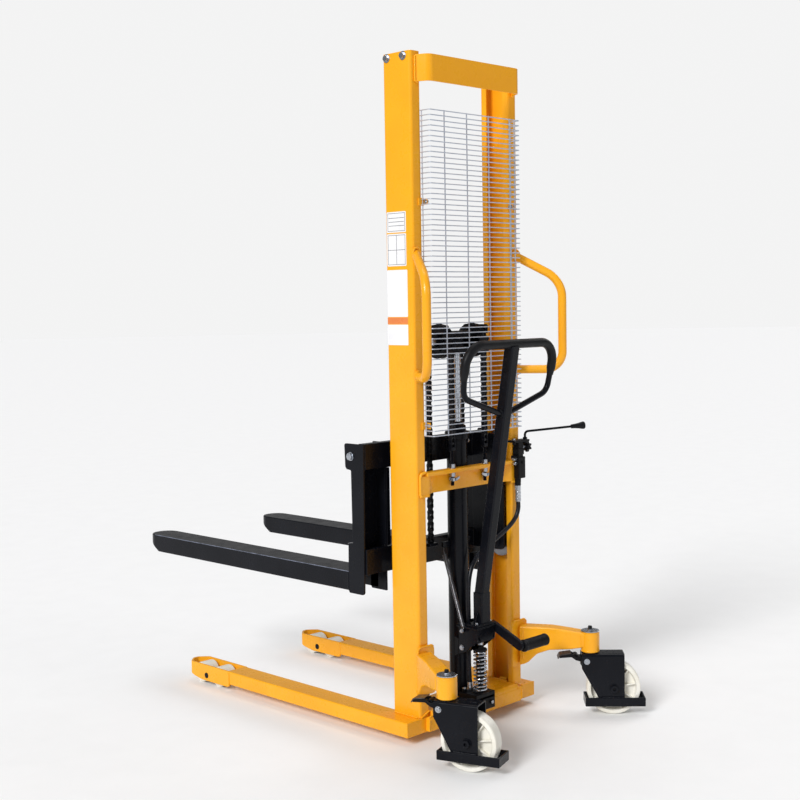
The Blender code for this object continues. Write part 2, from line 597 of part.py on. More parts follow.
across = STEM_HALF
stem = prism([(-across, -across), (across, -across), (across, across), (-across, across)], "Z", 0, 1)
foot, head = Vector(lean(0, 434)), Vector(lean(0, 1236))
upright = Matrix.Rotation(radians(9.815), 4, "X")
stem.data.transform(Matrix.Translation(foot * MM) @ upright @ Matrix.Diagonal((1, 1, (head - foot).length, 1)))
loop = [lean(*p) for p in ((-6, 1028), (-203, 1092), (-209.6, 1151))]
other = [(-x, y, z) for x, y, z in loop]
arms = [tube(filleted(path, (42,)), 9.5, 2) for path in (loop, other)]
inside = prism([(-15, -15), (15, -15), (15, 15), (-15, 15)], "Z", -0.02, 0.996)
inside.data.transform(Matrix.Translation(foot * MM) @ upright @ Matrix.Diagonal((1, 1, (head - foot).length, 1)))
node("tiller_stem", "black", [stem] + arms, [inside], origin=tiller_origin)
grip = [lean(*p) for p in ((-209.7, 1152), (-215, 1252), (215, 1252), (209.7, 1152))]
node("tiller_grip", "rubber", [tube_curve(filleted(grip, (68, 68)), 14.5, 3)], origin=tiller_origin)
spring_line = [(-51, -6, 330.5), (-51, 2, 360), (-47, 50, 580), (-47, 52.5, 588)]
node("return_spring", "zinc", [tube_curve(spring_line, 5, 2)])

# Release valve on the right mast: body on a bracket, swinging lever, flow handwheel, and the hose to the pump.
valve = [
    box((VALVE_X - 18, VALVE_X + 8), (VALVE_Y - 10, VALVE_Y + 14), (862, 917)),
    box((VALVE_X - 14, VALVE_X + 14), (VALVE_Y - 14, VALVE_Y + 8.7), (792, 864)),
    box((184, 262), (-36, -CLEAR), (915, 922)),
    cylinder("Z", (VALVE_X - 10, VALVE_Y), 9, 768, 794, 16),
    cylinder("Z", (VALVE_X - 10, VALVE_Y), 8, 712, 770, 6),
    cylinder("X", (VALVE_Y, 864), 7, 192, 220, 16),
    cylinder("X", (VALVE_Y, HANDWHEEL_Z), 5, 236, 268, 16),
]
node("release_valve", "black", valve)
reach = Vector((0.9, -0.436, 0.05))
post = [Vector((*SPINDLE, 922.4)), Vector((*SPINDLE, 948)), Vector((*SPINDLE, 948)) + reach * 172]
node("release_lever", "black", [tube_curve(filleted(post, (12,)), 4, 2)], origin=(*SPINDLE, 948))
knob = cylinder("Z", (0, 0), 7, 0, 50, 16, top=13)
knob_start = post[-1] + reach * (-12 + 12.3)
knob.data.transform(Matrix.Translation(knob_start * MM) @ reach.to_track_quat("Z", "Y").to_matrix().to_4x4())
node("lever_knob", "rubber", [knob], origin=(*SPINDLE, 948))
star = []
for i in range(48):
    r = 17 + 2.5 * cos(i * 2 * pi / 8)
    star.append((VALVE_Y + r * cos(i * pi / 24), HANDWHEEL_Z + r * sin(i * pi / 24)))
node(
    "flow_handwheel",
    "black",
    [prism(star, "X", 262, 276)],
    [cylinder("X", (VALVE_Y, HANDWHEEL_Z), 5.1, 250, 269, 16)],
    origin=(269, VALVE_Y, HANDWHEEL_Z),
)
route = [
    (222.5, -15.5, 711.6), (222.5, -15.5, 690), (213, -14, 664), (188, -12, 640), (157, -7, 619), (122, -4, 601),
    (84, -3, 584), (46, -3, 566), (14, -4, 544), (-8, -5, 516), (-20, -6, 480), (-24, -6, 440), (-23, -5, 400),
    (-18, -1, 360), (-12, 4, 320), (-9, 8, 280), (-8, 9, 240), (-8, 9, 190), (-8, 6, 140), (-8, 6, 114.4),
]


def smooth_line(points, spacing):
    """Points at even steps along a smooth line through the given points."""
    last = len(points) - 1
    found = []
    for i in range(last):
        p0, p1, p2, p3 = (Vector(points[min(max(k, 0), last)]) for k in (i - 1, i, i + 1, i + 2))
        count = max(1, round((p2 - p1).length / spacing))
        for k in range(count):
            t = k / count
            found.append(
                0.5 * (2 * p1 + (p2 - p0) * t + (2 * p0 - 5 * p1 + 4 * p2 - p3) * t**2 + (3 * p1 - p0 - 3 * p2 + p3) * t**3)
            )
    return found + [Vector(points[-1])]


node("pump_hose", "rubber", [tube_curve(smooth_line(route, 24), 7.5, 1)])

# The machine is moved so that the middle of its footprint is the origin and the wheels stand on Z = 0.
bpy.context.view_layer.update()
graph = bpy.context.evaluated_depsgraph_get()
low, high = Vector((1e9,) * 3), Vector((-1e9,) * 3)
for obj in model.objects:
    shape = obj.evaluated_get(graph)
    mesh = shape.to_mesh()
    for vertex in mesh.vertices:
        place = shape.matrix_world @ vertex.co
        low = Vector(map(min, low, place))
        high = Vector(map(max, high, place))
    shape.to_mesh_clear()
shift = Vector((-(low.x + high.x) / 2, -(low.y + high.y) / 2, -low.z))
for obj in list(model.objects) + list(helpers.objects):
    obj.matrix_world = Matrix.Translation(shift) @ obj.matrix_basis
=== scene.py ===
"""Looks for the walkie stacker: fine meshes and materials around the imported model, in its frame.

The shapes are written in millimetres from the machine's own datum, as on a drawing: X = 0 is the middle of
the mast, Y = 0 its rear face and Z = 0 the floor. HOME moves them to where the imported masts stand.
"""

import random
from math import cos, pi, radians, sin, tan

import bmesh
import bpy
from mathutils import Matrix, Vector


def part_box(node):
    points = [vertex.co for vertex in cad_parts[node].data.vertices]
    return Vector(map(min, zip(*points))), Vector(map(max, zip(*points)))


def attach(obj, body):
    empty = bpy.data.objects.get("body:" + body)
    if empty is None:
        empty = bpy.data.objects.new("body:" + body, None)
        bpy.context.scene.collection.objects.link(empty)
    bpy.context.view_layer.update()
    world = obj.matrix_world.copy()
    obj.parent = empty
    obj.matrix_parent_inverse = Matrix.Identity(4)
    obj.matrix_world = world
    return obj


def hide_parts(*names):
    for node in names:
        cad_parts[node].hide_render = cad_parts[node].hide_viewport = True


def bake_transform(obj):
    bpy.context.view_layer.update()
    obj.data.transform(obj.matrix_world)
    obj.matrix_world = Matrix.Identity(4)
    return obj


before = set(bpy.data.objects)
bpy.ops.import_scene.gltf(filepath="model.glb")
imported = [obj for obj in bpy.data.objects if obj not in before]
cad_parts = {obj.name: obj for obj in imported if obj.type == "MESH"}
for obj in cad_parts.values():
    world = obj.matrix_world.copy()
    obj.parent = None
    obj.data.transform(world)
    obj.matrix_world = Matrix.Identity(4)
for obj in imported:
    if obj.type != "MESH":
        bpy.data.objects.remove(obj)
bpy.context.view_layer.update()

MM = 0.001
MAST_HALF, MAST_DEPTH, MAST_TOP, MAST_WALL = 252, 119, 2154, 5
FLANGE, LIP = 44, 24.5
LEG_TOP, LEG_BOTTOM, LEG_OUT, LEG_IN = 75.6, 27, 315, 228
BEAM_END, HOUSING_TIP, HOUSING_WALL = 896, 1147, 8
BOGIE_Y, ROLLER_SPAN, ROLLER_R = 1024, 51, 37
BOGIE_PIN = (BOGIE_Y, ROLLER_R)
KINGPIN_X, KINGPIN_Y, KINGPIN_BASE, KINGPIN_TOP, KINGPIN_R = 355, -212, 209, 277, 31.4
TRAIL, WHEEL_R = 75.7, 90
YAW = {"left": 19.4, "right": 42.1}
SIDES = (("left", -1), ("right", 1))
CYLINDER_Y, CYLINDER_R, ROD_R = 57, 34, 15
CHAIN_X, CHAIN_R, CHAIN_Y, CHAIN_Z, CHAIN_PITCH = 79, 50, 56, 1260, 19.05
CHAIN_AXLE = (CHAIN_Y, CHAIN_Z)
BAR_REAR, BAR_FRONT, UPPER_BAR, LOWER_BAR = 160, 190, (860, 942), (523, 604)
FORK_OUT, FORK_IN, FORK_TOP, FORK_DEEP, FORK_TIP, FORK_WALL = 325, 219, 528, 63, 1362, 6
MAST_ROLLER_R, MAST_ROLLER_Z = 52, {"lower": 573, "upper": 900}
PIVOT, PUMP_Y = (5, 263), -33
STEM_HALF, STEM_FOOT, STEM_LEAN = 18, (-45, 452), 0.173
SHELF_TOP, SHELF_UNDER = 854, 842
VALVE_X, VALVE_Y, HANDWHEEL_Z = 232.5, -15.5, 896
SPINDLE = (251.5, -24)
GAP = 0.3
SHARP_ANGLE = 38

_left, _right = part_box("mast_left"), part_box("mast_right")
HOME = Vector(((_left[0].x + _right[1].x) / 2, _left[0].y, _right[1].z - MAST_TOP * MM))


def linked(name, data):
    """A new object in the scene that shows the data."""
    obj = bpy.data.objects.new(name, data)
    bpy.context.scene.collection.objects.link(obj)
    return obj


def meshed(name, bm):
    """The finished shape as mesh data."""
    mesh = bpy.data.meshes.new(name)
    bm.to_mesh(mesh)
    bm.free()
    return mesh


# ---------------------------------------------------------------- camera, light and floor
def camera():
    """A standing view from behind the left caster, with a small roll."""
    heading, pitch, roll = radians(45.31), radians(-4.16), radians(-0.95)
    ahead = Vector((sin(heading) * cos(pitch), cos(heading) * cos(pitch), sin(pitch)))
    right = Vector((cos(heading), -sin(heading), 0))
    up = right.cross(ahead)
    across = right * cos(roll) + up * sin(roll)
    above = up * cos(roll) - right * sin(roll)
    data = bpy.data.cameras.new("view")
    data.sensor_width, data.lens = 36, 59.93
    data.clip_start, data.clip_end = 0.1, 200
    obj = linked("view", data)
    obj.matrix_world = Matrix((across, above, -ahead)).transposed().to_4x4()
    obj.location = HOME + Vector((-3.212, -2.862, 1.385))
    bpy.context.scene.camera = obj


def soft_sun(name, come_from, spread, strength):
    """Even light from one side, as wide as a large softbox, which reaches the whole floor alike."""
    data = bpy.data.lights.new(name, "SUN")
    data.angle, data.energy = radians(spread), strength
    obj = linked(name, data)
    obj.rotation_mode = "QUATERNION"
    obj.rotation_quaternion = Vector(come_from).to_track_quat("Z", "Y")


def studio():
    """A pale floor under four soft lights. The background is brighter to the camera than it is as a light."""
    world = bpy.data.worlds.new("studio")
    world.use_nodes = True
    tree = world.node_tree
    sky = tree.nodes["Background"]
    sky.inputs["Color"].default_value = (1.0, 1.0, 1.0, 1)
    seen = tree.nodes.new("ShaderNodeMapRange")
    seen.inputs["To Min"].default_value, seen.inputs["To Max"].default_value = 0.28, 0.90
    path = tree.nodes.new("ShaderNodeLightPath")
    tree.links.new(path.outputs["Is Camera Ray"], seen.inputs["Value"])
    tree.links.new(seen.outputs["Result"], sky.inputs["Strength"])
    bpy.context.scene.world = world
    bpy.context.scene.view_settings.view_transform = "Standard"
    soft_sun("key", (-0.90, -0.16, 0.58), 20, 2.45)
    soft_sun("top", (0.15, 0.2, 1.0), 34, 0.95)
    soft_sun("rear", (0.25, -0.9, 0.40), 20, 0.20)
    soft_sun("right", (0.9, 0.1, 0.45), 24, 0.30)
    bm = bmesh.new()
    bmesh.ops.create_circle(bm, cap_ends=True, segments=96, radius=60)
    floor = linked("floor", meshed("floor", bm))
    floor.data.materials.append(surface("floor", (0.90, 0.90, 0.905), (0.885, 0.885, 0.89), 0.8, grain=40,
                                        bump=0.02))


# ---------------------------------------------------------------- materials
def surface(name, colour, other, rough, metallic=0.0, grain=600, bump=0.05, spread=0.08, patches=7,
            stretch=(1, 1, 1), specular=0.5, coat=0.0, coat_rough=0.1, specks=None):
    """A procedural finish: slow colour drift, fine grain, uneven gloss and, if asked, specks of wear."""
    material = bpy.data.materials.new(name)
    material.use_nodes = True
    tree = material.node_tree
    shader = tree.nodes["Principled BSDF"]
    shader.inputs["Metallic"].default_value = metallic
    shader.inputs["Specular IOR Level"].default_value = specular
    shader.inputs["Coat Weight"].default_value = coat
    shader.inputs["Coat Roughness"].default_value = coat_rough
    place = tree.nodes.new("ShaderNodeTexCoord")
    scale = tree.nodes.new("ShaderNodeMapping")
    scale.inputs["Scale"].default_value = stretch
    tree.links.new(place.outputs["Object"], scale.inputs["Vector"])

    def noise(size, detail=4.0, roughness=0.55):
        made = tree.nodes.new("ShaderNodeTexNoise")
        made.inputs["Scale"].default_value = size
        made.inputs["Detail"].default_value = detail
        made.inputs["Roughness"].default_value = roughness
        tree.links.new(scale.outputs["Vector"], made.inputs["Vector"])
        return made.outputs["Fac"]

    def spread_over(source, low, high, to_low, to_high):
        made = tree.nodes.new("ShaderNodeMapRange")
        for key, value in (("From Min", low), ("From Max", high), ("To Min", to_low), ("To Max", to_high)):
            made.inputs[key].default_value = value
        tree.links.new(source, made.inputs["Value"])
        return made.outputs["Result"]

    def mixed(share, first, second):
        made = tree.nodes.new("ShaderNodeMix")
        made.data_type = "RGBA"
        tree.links.new(share, made.inputs["Factor"])
        for socket, value in ((made.inputs["A"], first), (made.inputs["B"], second)):
            if isinstance(value, tuple):
                socket.default_value = (*value, 1)
            else:
                tree.links.new(value, socket)
        return made.outputs["Result"]

    drift = spread_over(noise(patches, 5.0), 0.35, 0.68, 0.0, 1.0)
    tint = mixed(drift, colour, other)
    if specks:
        shade, size, amount = specks
        spots = spread_over(noise(size, 8.0, 0.7), 1 - amount, 1 - amount + 0.04, 0.0, 0.85)
        tint = mixed(spots, tint, shade)
    tree.links.new(tint, shader.inputs["Base Color"])
    gloss = spread_over(noise(patches * 4, 6.0), 0.3, 0.7, max(rough - spread, 0.02), rough + spread)
    tree.links.new(gloss, shader.inputs["Roughness"])
    raised = tree.nodes.new("ShaderNodeBump")
    raised.inputs["Strength"].default_value = bump
    raised.inputs["Distance"].default_value = 0.0006
    tree.links.new(noise(grain, 3.0), raised.inputs["Height"])
    tree.links.new(raised.outputs["Normal"], shader.inputs["Normal"])
    return material


def finishes():
    """Every finish on the machine, by a plain name, and one pale finish that paints highlights on edges."""
    return {
        "yellow": surface("yellow_powder_coat", (0.93, 0.42, 0.012), (0.90, 0.385, 0.010), 0.30, grain=420,
                          bump=0.10,
                          coat=0.16, coat_rough=0.08, specks=((0.84, 0.34, 0.009), 55, 0.27), specular=0.3),
        "black": surface("black_paint", (0.0040, 0.0046, 0.0070), (0.0070, 0.0078, 0.0112), 0.24, grain=500,
                         bump=0.15,
                         specks=((0.040, 0.044, 0.055), 160, 0.335), specular=0.13),
        # Painted highlight: a pale bluish finish for thin strips that stand in for the light caught along the
        # forks' rounded edges.
        "painted edge highlight": surface("painted_edge_highlight", (0.20, 0.22, 0.29), (0.07, 0.078, 0.10), 0.30, grain=500, bump=0.2,
                             patches=30),
        "casting": surface("black_rough_paint", (0.0045, 0.0048, 0.0065), (0.010, 0.0095, 0.0100), 0.36,
                           grain=260,
                           bump=0.45, specks=((0.10, 0.050, 0.026), 90, 0.35), specular=0.13),
        "zinc": surface("bright_zinc", (0.50, 0.53, 0.58), (0.36, 0.38, 0.42), 0.27, metallic=1.0, grain=900,
                        bump=0.12, patches=60, specks=((0.22, 0.22, 0.24), 300, 0.36)),
        "wire": surface("galvanised_wire", (0.56, 0.61, 0.70), (0.46, 0.50, 0.58), 0.34, metallic=0.35,
                        grain=700,
                        bump=0.12, patches=40),
        "chrome": surface("polished_chrome", (0.60, 0.64, 0.70), (0.48, 0.51, 0.57), 0.16, metallic=1.0,
                          grain=1500,
                          bump=0.03, spread=0.05, patches=12, stretch=(1, 1, 0.15)),
        "steel": surface("machined_steel", (0.27, 0.27, 0.285), (0.17, 0.17, 0.18), 0.34, metallic=1.0,
                         grain=800,
                         bump=0.15, patches=30),
        "chain": surface("oiled_chain", (0.010, 0.011, 0.014), (0.022, 0.022, 0.025), 0.22, metallic=0.3,
                         grain=500,
                         bump=0.25, patches=45, specks=((0.12, 0.12, 0.13), 240, 0.35), specular=0.3),
        "nylon": surface("ivory_nylon", (0.86, 0.84, 0.77), (0.78, 0.75, 0.65), 0.33, grain=350, bump=0.10,
                         patches=14, specks=((0.52, 0.47, 0.36), 70, 0.31), specular=0.5),
        "rubber": surface("black_rubber", (0.0052, 0.0054, 0.0064), (0.0095, 0.0098, 0.0118), 0.40, grain=800,
                          bump=0.5,
                          patches=25, specular=0.16),
        "hose": surface("hose_rubber", (0.0060, 0.0070, 0.0100), (0.010, 0.0115, 0.016), 0.30, grain=420,
                        bump=0.3,
                        patches=20, specular=0.25),
        "wear_and_painted_highlights": surface("scuffed_brown_paint", (0.075, 0.052, 0.042), (0.022, 0.018, 0.018), 0.42, grain=250,
                        bump=0.4,
                        patches=40, specks=((0.25, 0.23, 0.22), 150, 0.40)),
        "sticker": surface("blank_label", (0.86, 0.86, 0.87), (0.80, 0.80, 0.82), 0.28, grain=900, bump=0.02,
                           patches=9, coat=0.3),
        "frame": surface("label_border", (0.10, 0.10, 0.12), (0.16, 0.16, 0.18), 0.35, grain=900, bump=0.02),
        "band": surface("label_band", (0.82, 0.25, 0.06), (0.72, 0.20, 0.05), 0.30, grain=900, bump=0.02,
                        coat=0.3),
        # Painted shade: a near-black finish meant to stand in for the shade inside recesses and openings; no
        # piece uses it.
        "hole": surface("painted_recess_shade", (0.004, 0.004, 0.005), (0.008, 0.008, 0.008), 0.8, grain=300,
                        bump=0.1),
    }


# ---------------------------------------------------------------- shapes, in millimetres
def rounded(bm, edge, segments=3, angle=28):
    """Rounds every edge that is sharper than the angle."""
    bmesh.ops.recalc_face_normals(bm, faces=bm.faces)
    if edge:
        sharp = [e for e in bm.edges if len(e.link_faces) == 2 and e.calc_face_angle(0) > radians(angle)]
        bmesh.ops.bevel(
            bm, geom=sharp, offset=edge * MM, segments=segments, profile=0.5, affect="EDGES",
            clamp_overlap=True
        )
    return bm


def box(x, y, z, edge=1.0, segments=3):
    bm = bmesh.new()
    bmesh.ops.create_cube(bm, size=1)
    size = [(b - a) * MM for a, b in (x, y, z)]
    middle = [(a + b) / 2 * MM for a, b in (x, y, z)]
    bmesh.ops.transform(bm, matrix=Matrix.Translation(middle) @ Matrix.Diagonal((*size, 1)), verts=bm.verts)
    return rounded(bm, edge, segments)


def span(side, a, b):
    """The two limits of a stretch, mirrored to the given side."""
    return tuple(sorted((side * a, side * b)))


def mirrored(points, side):
    """(x, other) points on the given side."""
    return [(side * x, other) for x, other in points]


def arcs(corners, radii, count=5):
    """A closed outline with its corners rounded. One radius serves all, or a list gives each corner's own."""
    size = len(corners)
    radii = radii if isinstance(radii, (list, tuple)) else [radii] * size
    found = []
    for i, radius in enumerate(radii):
        here = Vector(corners[i])
        a = (Vector(corners[i - 1]) - here).normalized()
        b = (Vector(corners[(i + 1) % size]) - here).normalized()
        half = a.angle(b) / 2
        if radius <= 0 or half > radians(86):
            found.append(here)
            continue
        centre = here + (a + b).normalized() * (radius / sin(half))
        start, end = here + a * (radius / tan(half)) - centre, here + b * (radius / tan(half)) - centre
        turn = start.angle_signed(end)
        for k in range(count + 1):
            angle = -turn * k / count
            spoke = Vector((start.x * cos(angle) - start.y * sin(angle),
                            start.x * sin(angle) + start.y * cos(angle)))
            found.append(centre + spoke)
    return [tuple(p) for p in found]


def prism(outline, axis, low, high, edge=0.8, segments=3, angle=40):
    """An outline extruded along an axis. Its points are (y, z) for X, (x, z) for Y and (x, y) for Z."""
    place = {
        "X": lambda a, b: (low, a, b),
        "Y": lambda a, b: (a, low, b),
        "Z": lambda a, b: (a, b, low),
    }[axis]
    bm = bmesh.new()
    face = bm.faces.new([bm.verts.new(Vector(place(*p)) * MM) for p in outline])
    made = bmesh.ops.extrude_face_region(bm, geom=[face])["geom"]
    step = Vector([(high - low) * MM if axis == k else 0 for k in "XYZ"])
    bmesh.ops.translate(bm, vec=step, verts=[v for v in made if isinstance(v, bmesh.types.BMVert)])
    return rounded(bm, edge, segments, angle)


def rod(axis, centre, radius, low, high, edge=0.6, sides=40):
    """A round bar along an axis. Its centre holds the two other coordinates, in axis order."""
    bm = bmesh.new()
    bmesh.ops.create_cone(
        bm, cap_ends=True, segments=sides, radius1=radius * MM, radius2=radius * MM, depth=(high - low) * MM
    )
    rounded(bm, edge, 2, 50)
    middle = (low + high) / 2
    turn, at = {
        "X": (Matrix.Rotation(pi / 2, 4, "Y"), (middle, *centre)),
        "Y": (Matrix.Rotation(-pi / 2, 4, "X"), (centre[0], middle, centre[1])),
        "Z": (Matrix.Identity(4), (*centre, middle)),
    }[axis]
    bmesh.ops.transform(bm, matrix=Matrix.Translation(Vector(at) * MM) @ turn, verts=bm.verts)
    return bm


def lathe(outline, at, axis="X", sides=48):
    """A closed (radius, along) outline turned once around X or Z through a point."""
    bm = bmesh.new()
    verts = [bm.verts.new((x * MM, 0, r * MM)) for r, x in outline]
    edges = [bm.edges.new((verts[i], verts[(i + 1) % len(verts)])) for i in range(len(verts))]
    bmesh.ops.spin(
        bm, geom=verts + edges, cent=(0, 0, 0), axis=(1, 0, 0), angle=2 * pi, steps=sides, use_merge=True
    )
    bmesh.ops.remove_doubles(bm, verts=bm.verts, dist=1e-6)
    turn = {"X": Matrix.Identity(4), "Z": Matrix.Rotation(-pi / 2, 4, "Y")}[axis]
    bmesh.ops.transform(bm, matrix=Matrix.Translation(Vector(at) * MM) @ turn, verts=bm.verts)
    return rounded(bm, 0)


def tube(points, radius, sides=16, thickness=None):
    """A round bar bent along the points. thickness gives the radius at each point, where it changes."""
    points = [Vector(p) * MM for p in points]
    sizes = thickness or [radius] * len(points)
    bm = bmesh.new()
    rings, side = [], None
    for i, point in enumerate(points):
        ahead = (points[min(i + 1, len(points) - 1)] - points[max(i - 1, 0)]).normalized()
        if side is None:
            side = ahead.orthogonal().normalized()
        side = (side - ahead * side.dot(ahead)).normalized()
        other = ahead.cross(side)
        turn = [(cos(2 * pi * k / sides), sin(2 * pi * k / sides)) for k in range(sides)]
        rings.append([bm.verts.new(point + (side * c + other * s) * sizes[i] * MM) for c, s in turn])
    for near, far in zip(rings, rings[1:]):
        for k in range(sides):
            bm.faces.new((near[k], near[(k + 1) % sides], far[(k + 1) % sides], far[k]))
    bm.faces.new(rings[0][::-1])
    bm.faces.new(rings[-1])
    return rounded(bm, 0)


def filleted(corners, radii, step=6):
    """The corners joined by straight runs, with an arc of the given radius at each inner corner."""
    points = [Vector(corners[0])]
    for before, corner, after, radius in zip(corners, corners[1:], corners[2:], radii):
        corner = Vector(corner)
        a, b = (Vector(before) - corner).normalized(), (Vector(after) - corner).normalized()
        half = a.angle(b) / 2
        centre = corner + (a + b).normalized() * (radius / sin(half))
        start, end = corner + a * (radius / tan(half)), corner + b * (radius / tan(half))
        count = max(3, round(180 / step * (1 - 2 * half / pi)))
        for i in range(count + 1):
            along = (start - centre).normalized().slerp((end - centre).normalized(), i / count)
            points.append(centre + along * radius)
    return points + [Vector(corners[-1])]


def smooth_line(points, spacing):
    """Points at even steps along a smooth line through the given points."""
    last = len(points) - 1
    found = []
    for i in range(last):
        p0, p1, p2, p3 = (Vector(points[min(max(k, 0), last)]) for k in (i - 1, i, i + 1, i + 2))
        count = max(1, round((p2 - p1).length / spacing))
        for k in range(count):
            t = k / count
            found.append(
                0.5 * (2 * p1 + (p2 - p0) * t + (2 * p0 - 5 * p1 + 4 * p2 - p3) * t**2
                       + (3 * p1 - p0 - 3 * p2 + p3) * t**3)
            )
    return found + [Vector(points[-1])]


def weld(points, radius, seed=1):
    """A weld bead: overlapping ripples along a line, a little uneven."""
    chance = random.Random(seed)
    line, sizes = [], []
    for start, end in zip(points, points[1:]):
        start, end = Vector(start), Vector(end)
        count = max(4, round((end - start).length / (radius * 0.35)))
        for k in range(count):
            line.append(start.lerp(end, k / count))
    line.append(Vector(points[-1]))
    for i in range(len(line)):
        ripple = 0.86 + 0.14 * abs(sin(i * 0.9)) + chance.uniform(-0.05, 0.05)
        sizes.append(radius * ripple * (0.45 if i in (0, len(line) - 1) else 1))
    return tube(line, radius, 10, sizes)


def hexagon(axis, centre, radius, low, high):
    """A bolt head or nut, with its corners chamfered round on both faces."""
    cone = radius * 0.13
    head = rod(axis, centre, radius, low, high, 0, 6)
    flat = radius * 0.90
    limit = [(0.01, low), (flat, low), (radius, low + cone), (radius, high - cone), (flat, high),
             (0.01, high)]
    at = {"X": (0, *centre), "Z": (*centre, 0)}[axis]
    return combined(head, [lathe(limit, at, axis, 36)], "INTERSECT")


def combined(bm, others, operation):
    """The Boolean of a shape with others, which are used up."""
    target, *helpers = [linked("temporary", meshed("temporary", shape)) for shape in (bm, *others)]
    for helper in helpers:
        step = target.modifiers.new("step", "BOOLEAN")
        step.operation, step.solver, step.object = operation, "EXACT", helper
    bpy.context.view_layer.update()
    mesh = bpy.data.meshes.new_from_object(target.evaluated_get(bpy.context.evaluated_depsgraph_get()))
    found = bmesh.new()
    found.from_mesh(mesh)
    for obj in [target] + helpers:
        bpy.data.meshes.remove(obj.data)
    bpy.data.meshes.remove(mesh)
    return found


def less(bm, *cutters):
    return combined(bm, cutters, "DIFFERENCE")


def turned(bm, matrix):
    bmesh.ops.transform(bm, matrix=matrix, verts=bm.verts)
    return bm


def piece(name, body, finish, shapes, replaces=(), flex=None):
    """Joins shapes into one piece that rides on a body. With flex the piece stays fixed where it is and rides
    on nothing; the joint that flex gives is not used.
    """
    whole = bmesh.new()
    for bm in shapes:
        mesh = meshed("part", bm)
        whole.from_mesh(mesh)
        bpy.data.meshes.remove(mesh)
    bmesh.ops.translate(whole, vec=HOME, verts=whole.verts)
    mesh = meshed(name, whole)
    mesh.shade_smooth()
    mesh.set_sharp_from_angle(angle=radians(SHARP_ANGLE))
    mesh.materials.append(FINISH[finish])
    obj = linked(name, mesh)
    if flex:
        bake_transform(obj)
    else:
        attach(obj, body)
        normals = obj.modifiers.new("Flats", "WEIGHTED_NORMAL")
        normals.keep_sharp = True
    if replaces:
        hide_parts(*replaces)


def on_both_sides(build):
    """Runs a builder for the left side and then for the right."""

    def run():
        for label, side in SIDES:
            build(label, side)

    return run


FINISH = finishes()


# ---------------------------------------------------------------- masts, cross members, base and legs
def bolt(axis, centre, radius, face, height, side=1, washer=1.35):
    """A washer and a bolt head that stand on a face, away from it on the given side."""
    a, b = sorted((face, face + side * 2))
    c, d = sorted((face + side * 2, face + side * (2 + height)))
    return [rod(axis, centre, radius * washer, a, b, 0.4, 32), hexagon(axis, centre, radius, c, d)]


@on_both_sides
def masts(label, side):
    web, toe, w = MAST_HALF, MAST_HALF - FLANGE, MAST_WALL
    outline = [
        (web, 0), (web, MAST_DEPTH), (toe, MAST_DEPTH), (toe, MAST_DEPTH - LIP), (toe + w, MAST_DEPTH - LIP),
        (toe + w, MAST_DEPTH - w), (web - w, MAST_DEPTH - w), (web - w, w), (toe + w, w), (toe + w, LIP),
        (toe, LIP), (toe, 0),
    ]
    radii = [10, 10, 8, 1.5, 1.5, 3, 4, 4, 3, 1.5, 1.5, 8]
    section = arcs(mirrored(outline, side), radii, 6)
    channel = prism(section, "Z", LEG_TOP + GAP, MAST_TOP, 0.8, 2, 60)
    piece(f"mast_channel_{label}", "chassis", "yellow", [channel], [f"mast_{label}"])
    heads = []
    for y in (29.9, 99.8):
        heads += bolt("X", (y, 2140), 10, side * web, 7, side)
    piece(f"mast_bolts_{label}", "chassis", "zinc", heads)
    foot = [(side * (web + 1.5), 8, LEG_TOP + 2), (side * (web + 1.5), MAST_DEPTH - 8, LEG_TOP + 2)]
    behind = [(side * (toe + 3), -1.5, LEG_TOP + 18), (side * (web - 4), -1.5, LEG_TOP + 2)]
    inside = [(side * (toe + 12), 40, 95), (side * (toe + 14), 70, 94)]
    spots = [weld(foot, 3.2, 3), weld(behind, 3.0, 4), weld(inside, 5, 5)]
    piece(f"mast_foot_welds_{label}", "chassis", "yellow", spots)


def labels():
    """Blank stickers on the outer face of the left mast, with plain borders and one coloured band."""
    x = (-MAST_HALF - 0.35, -MAST_HALF + 0.5)
    panels = {"small": (28, 111, 1604, 1668), "middle": (28, 111, 1500, 1600), "large": (25, 113, 1342, 1488),
              "low": (25, 115, 1254, 1318)}
    for name, (y0, y1, z0, z1) in panels.items():
        plate = prism(arcs([(y0, z0), (y1, z0), (y1, z1), (y0, z1)], 3), "X", *x, edge=0)
        piece(f"label_{name}", "chassis", "sticker", [plate])
    lines = []
    front, inset, wide = (-MAST_HALF - 0.55, -MAST_HALF), 4, 1.4
    for y0, y1, z0, z1 in (panels["small"], panels["middle"]):
        a, b, c, d = y0 + inset, y1 - inset, z0 + inset, z1 - inset
        lines += [box(front, (a, b), (z, z + wide), 0) for z in (c, d - wide)]
        lines += [box(front, (y, y + wide), (c, d), 0) for y in (a, b - wide)]
    lines += [box(front, (36, 103), (z, z + 1.6), 0) for z in (1624, 1636, 1648)]
    lines += [box(front, (69, 70.5), (1504, 1596), 0), box(front, (32, 107), (1549, 1550.5), 0)]
    piece("label_borders", "chassis", "frame", lines)
    piece("label_band", "chassis", "band", [box(x, (25, 114), (1320, 1340), 0.2)])


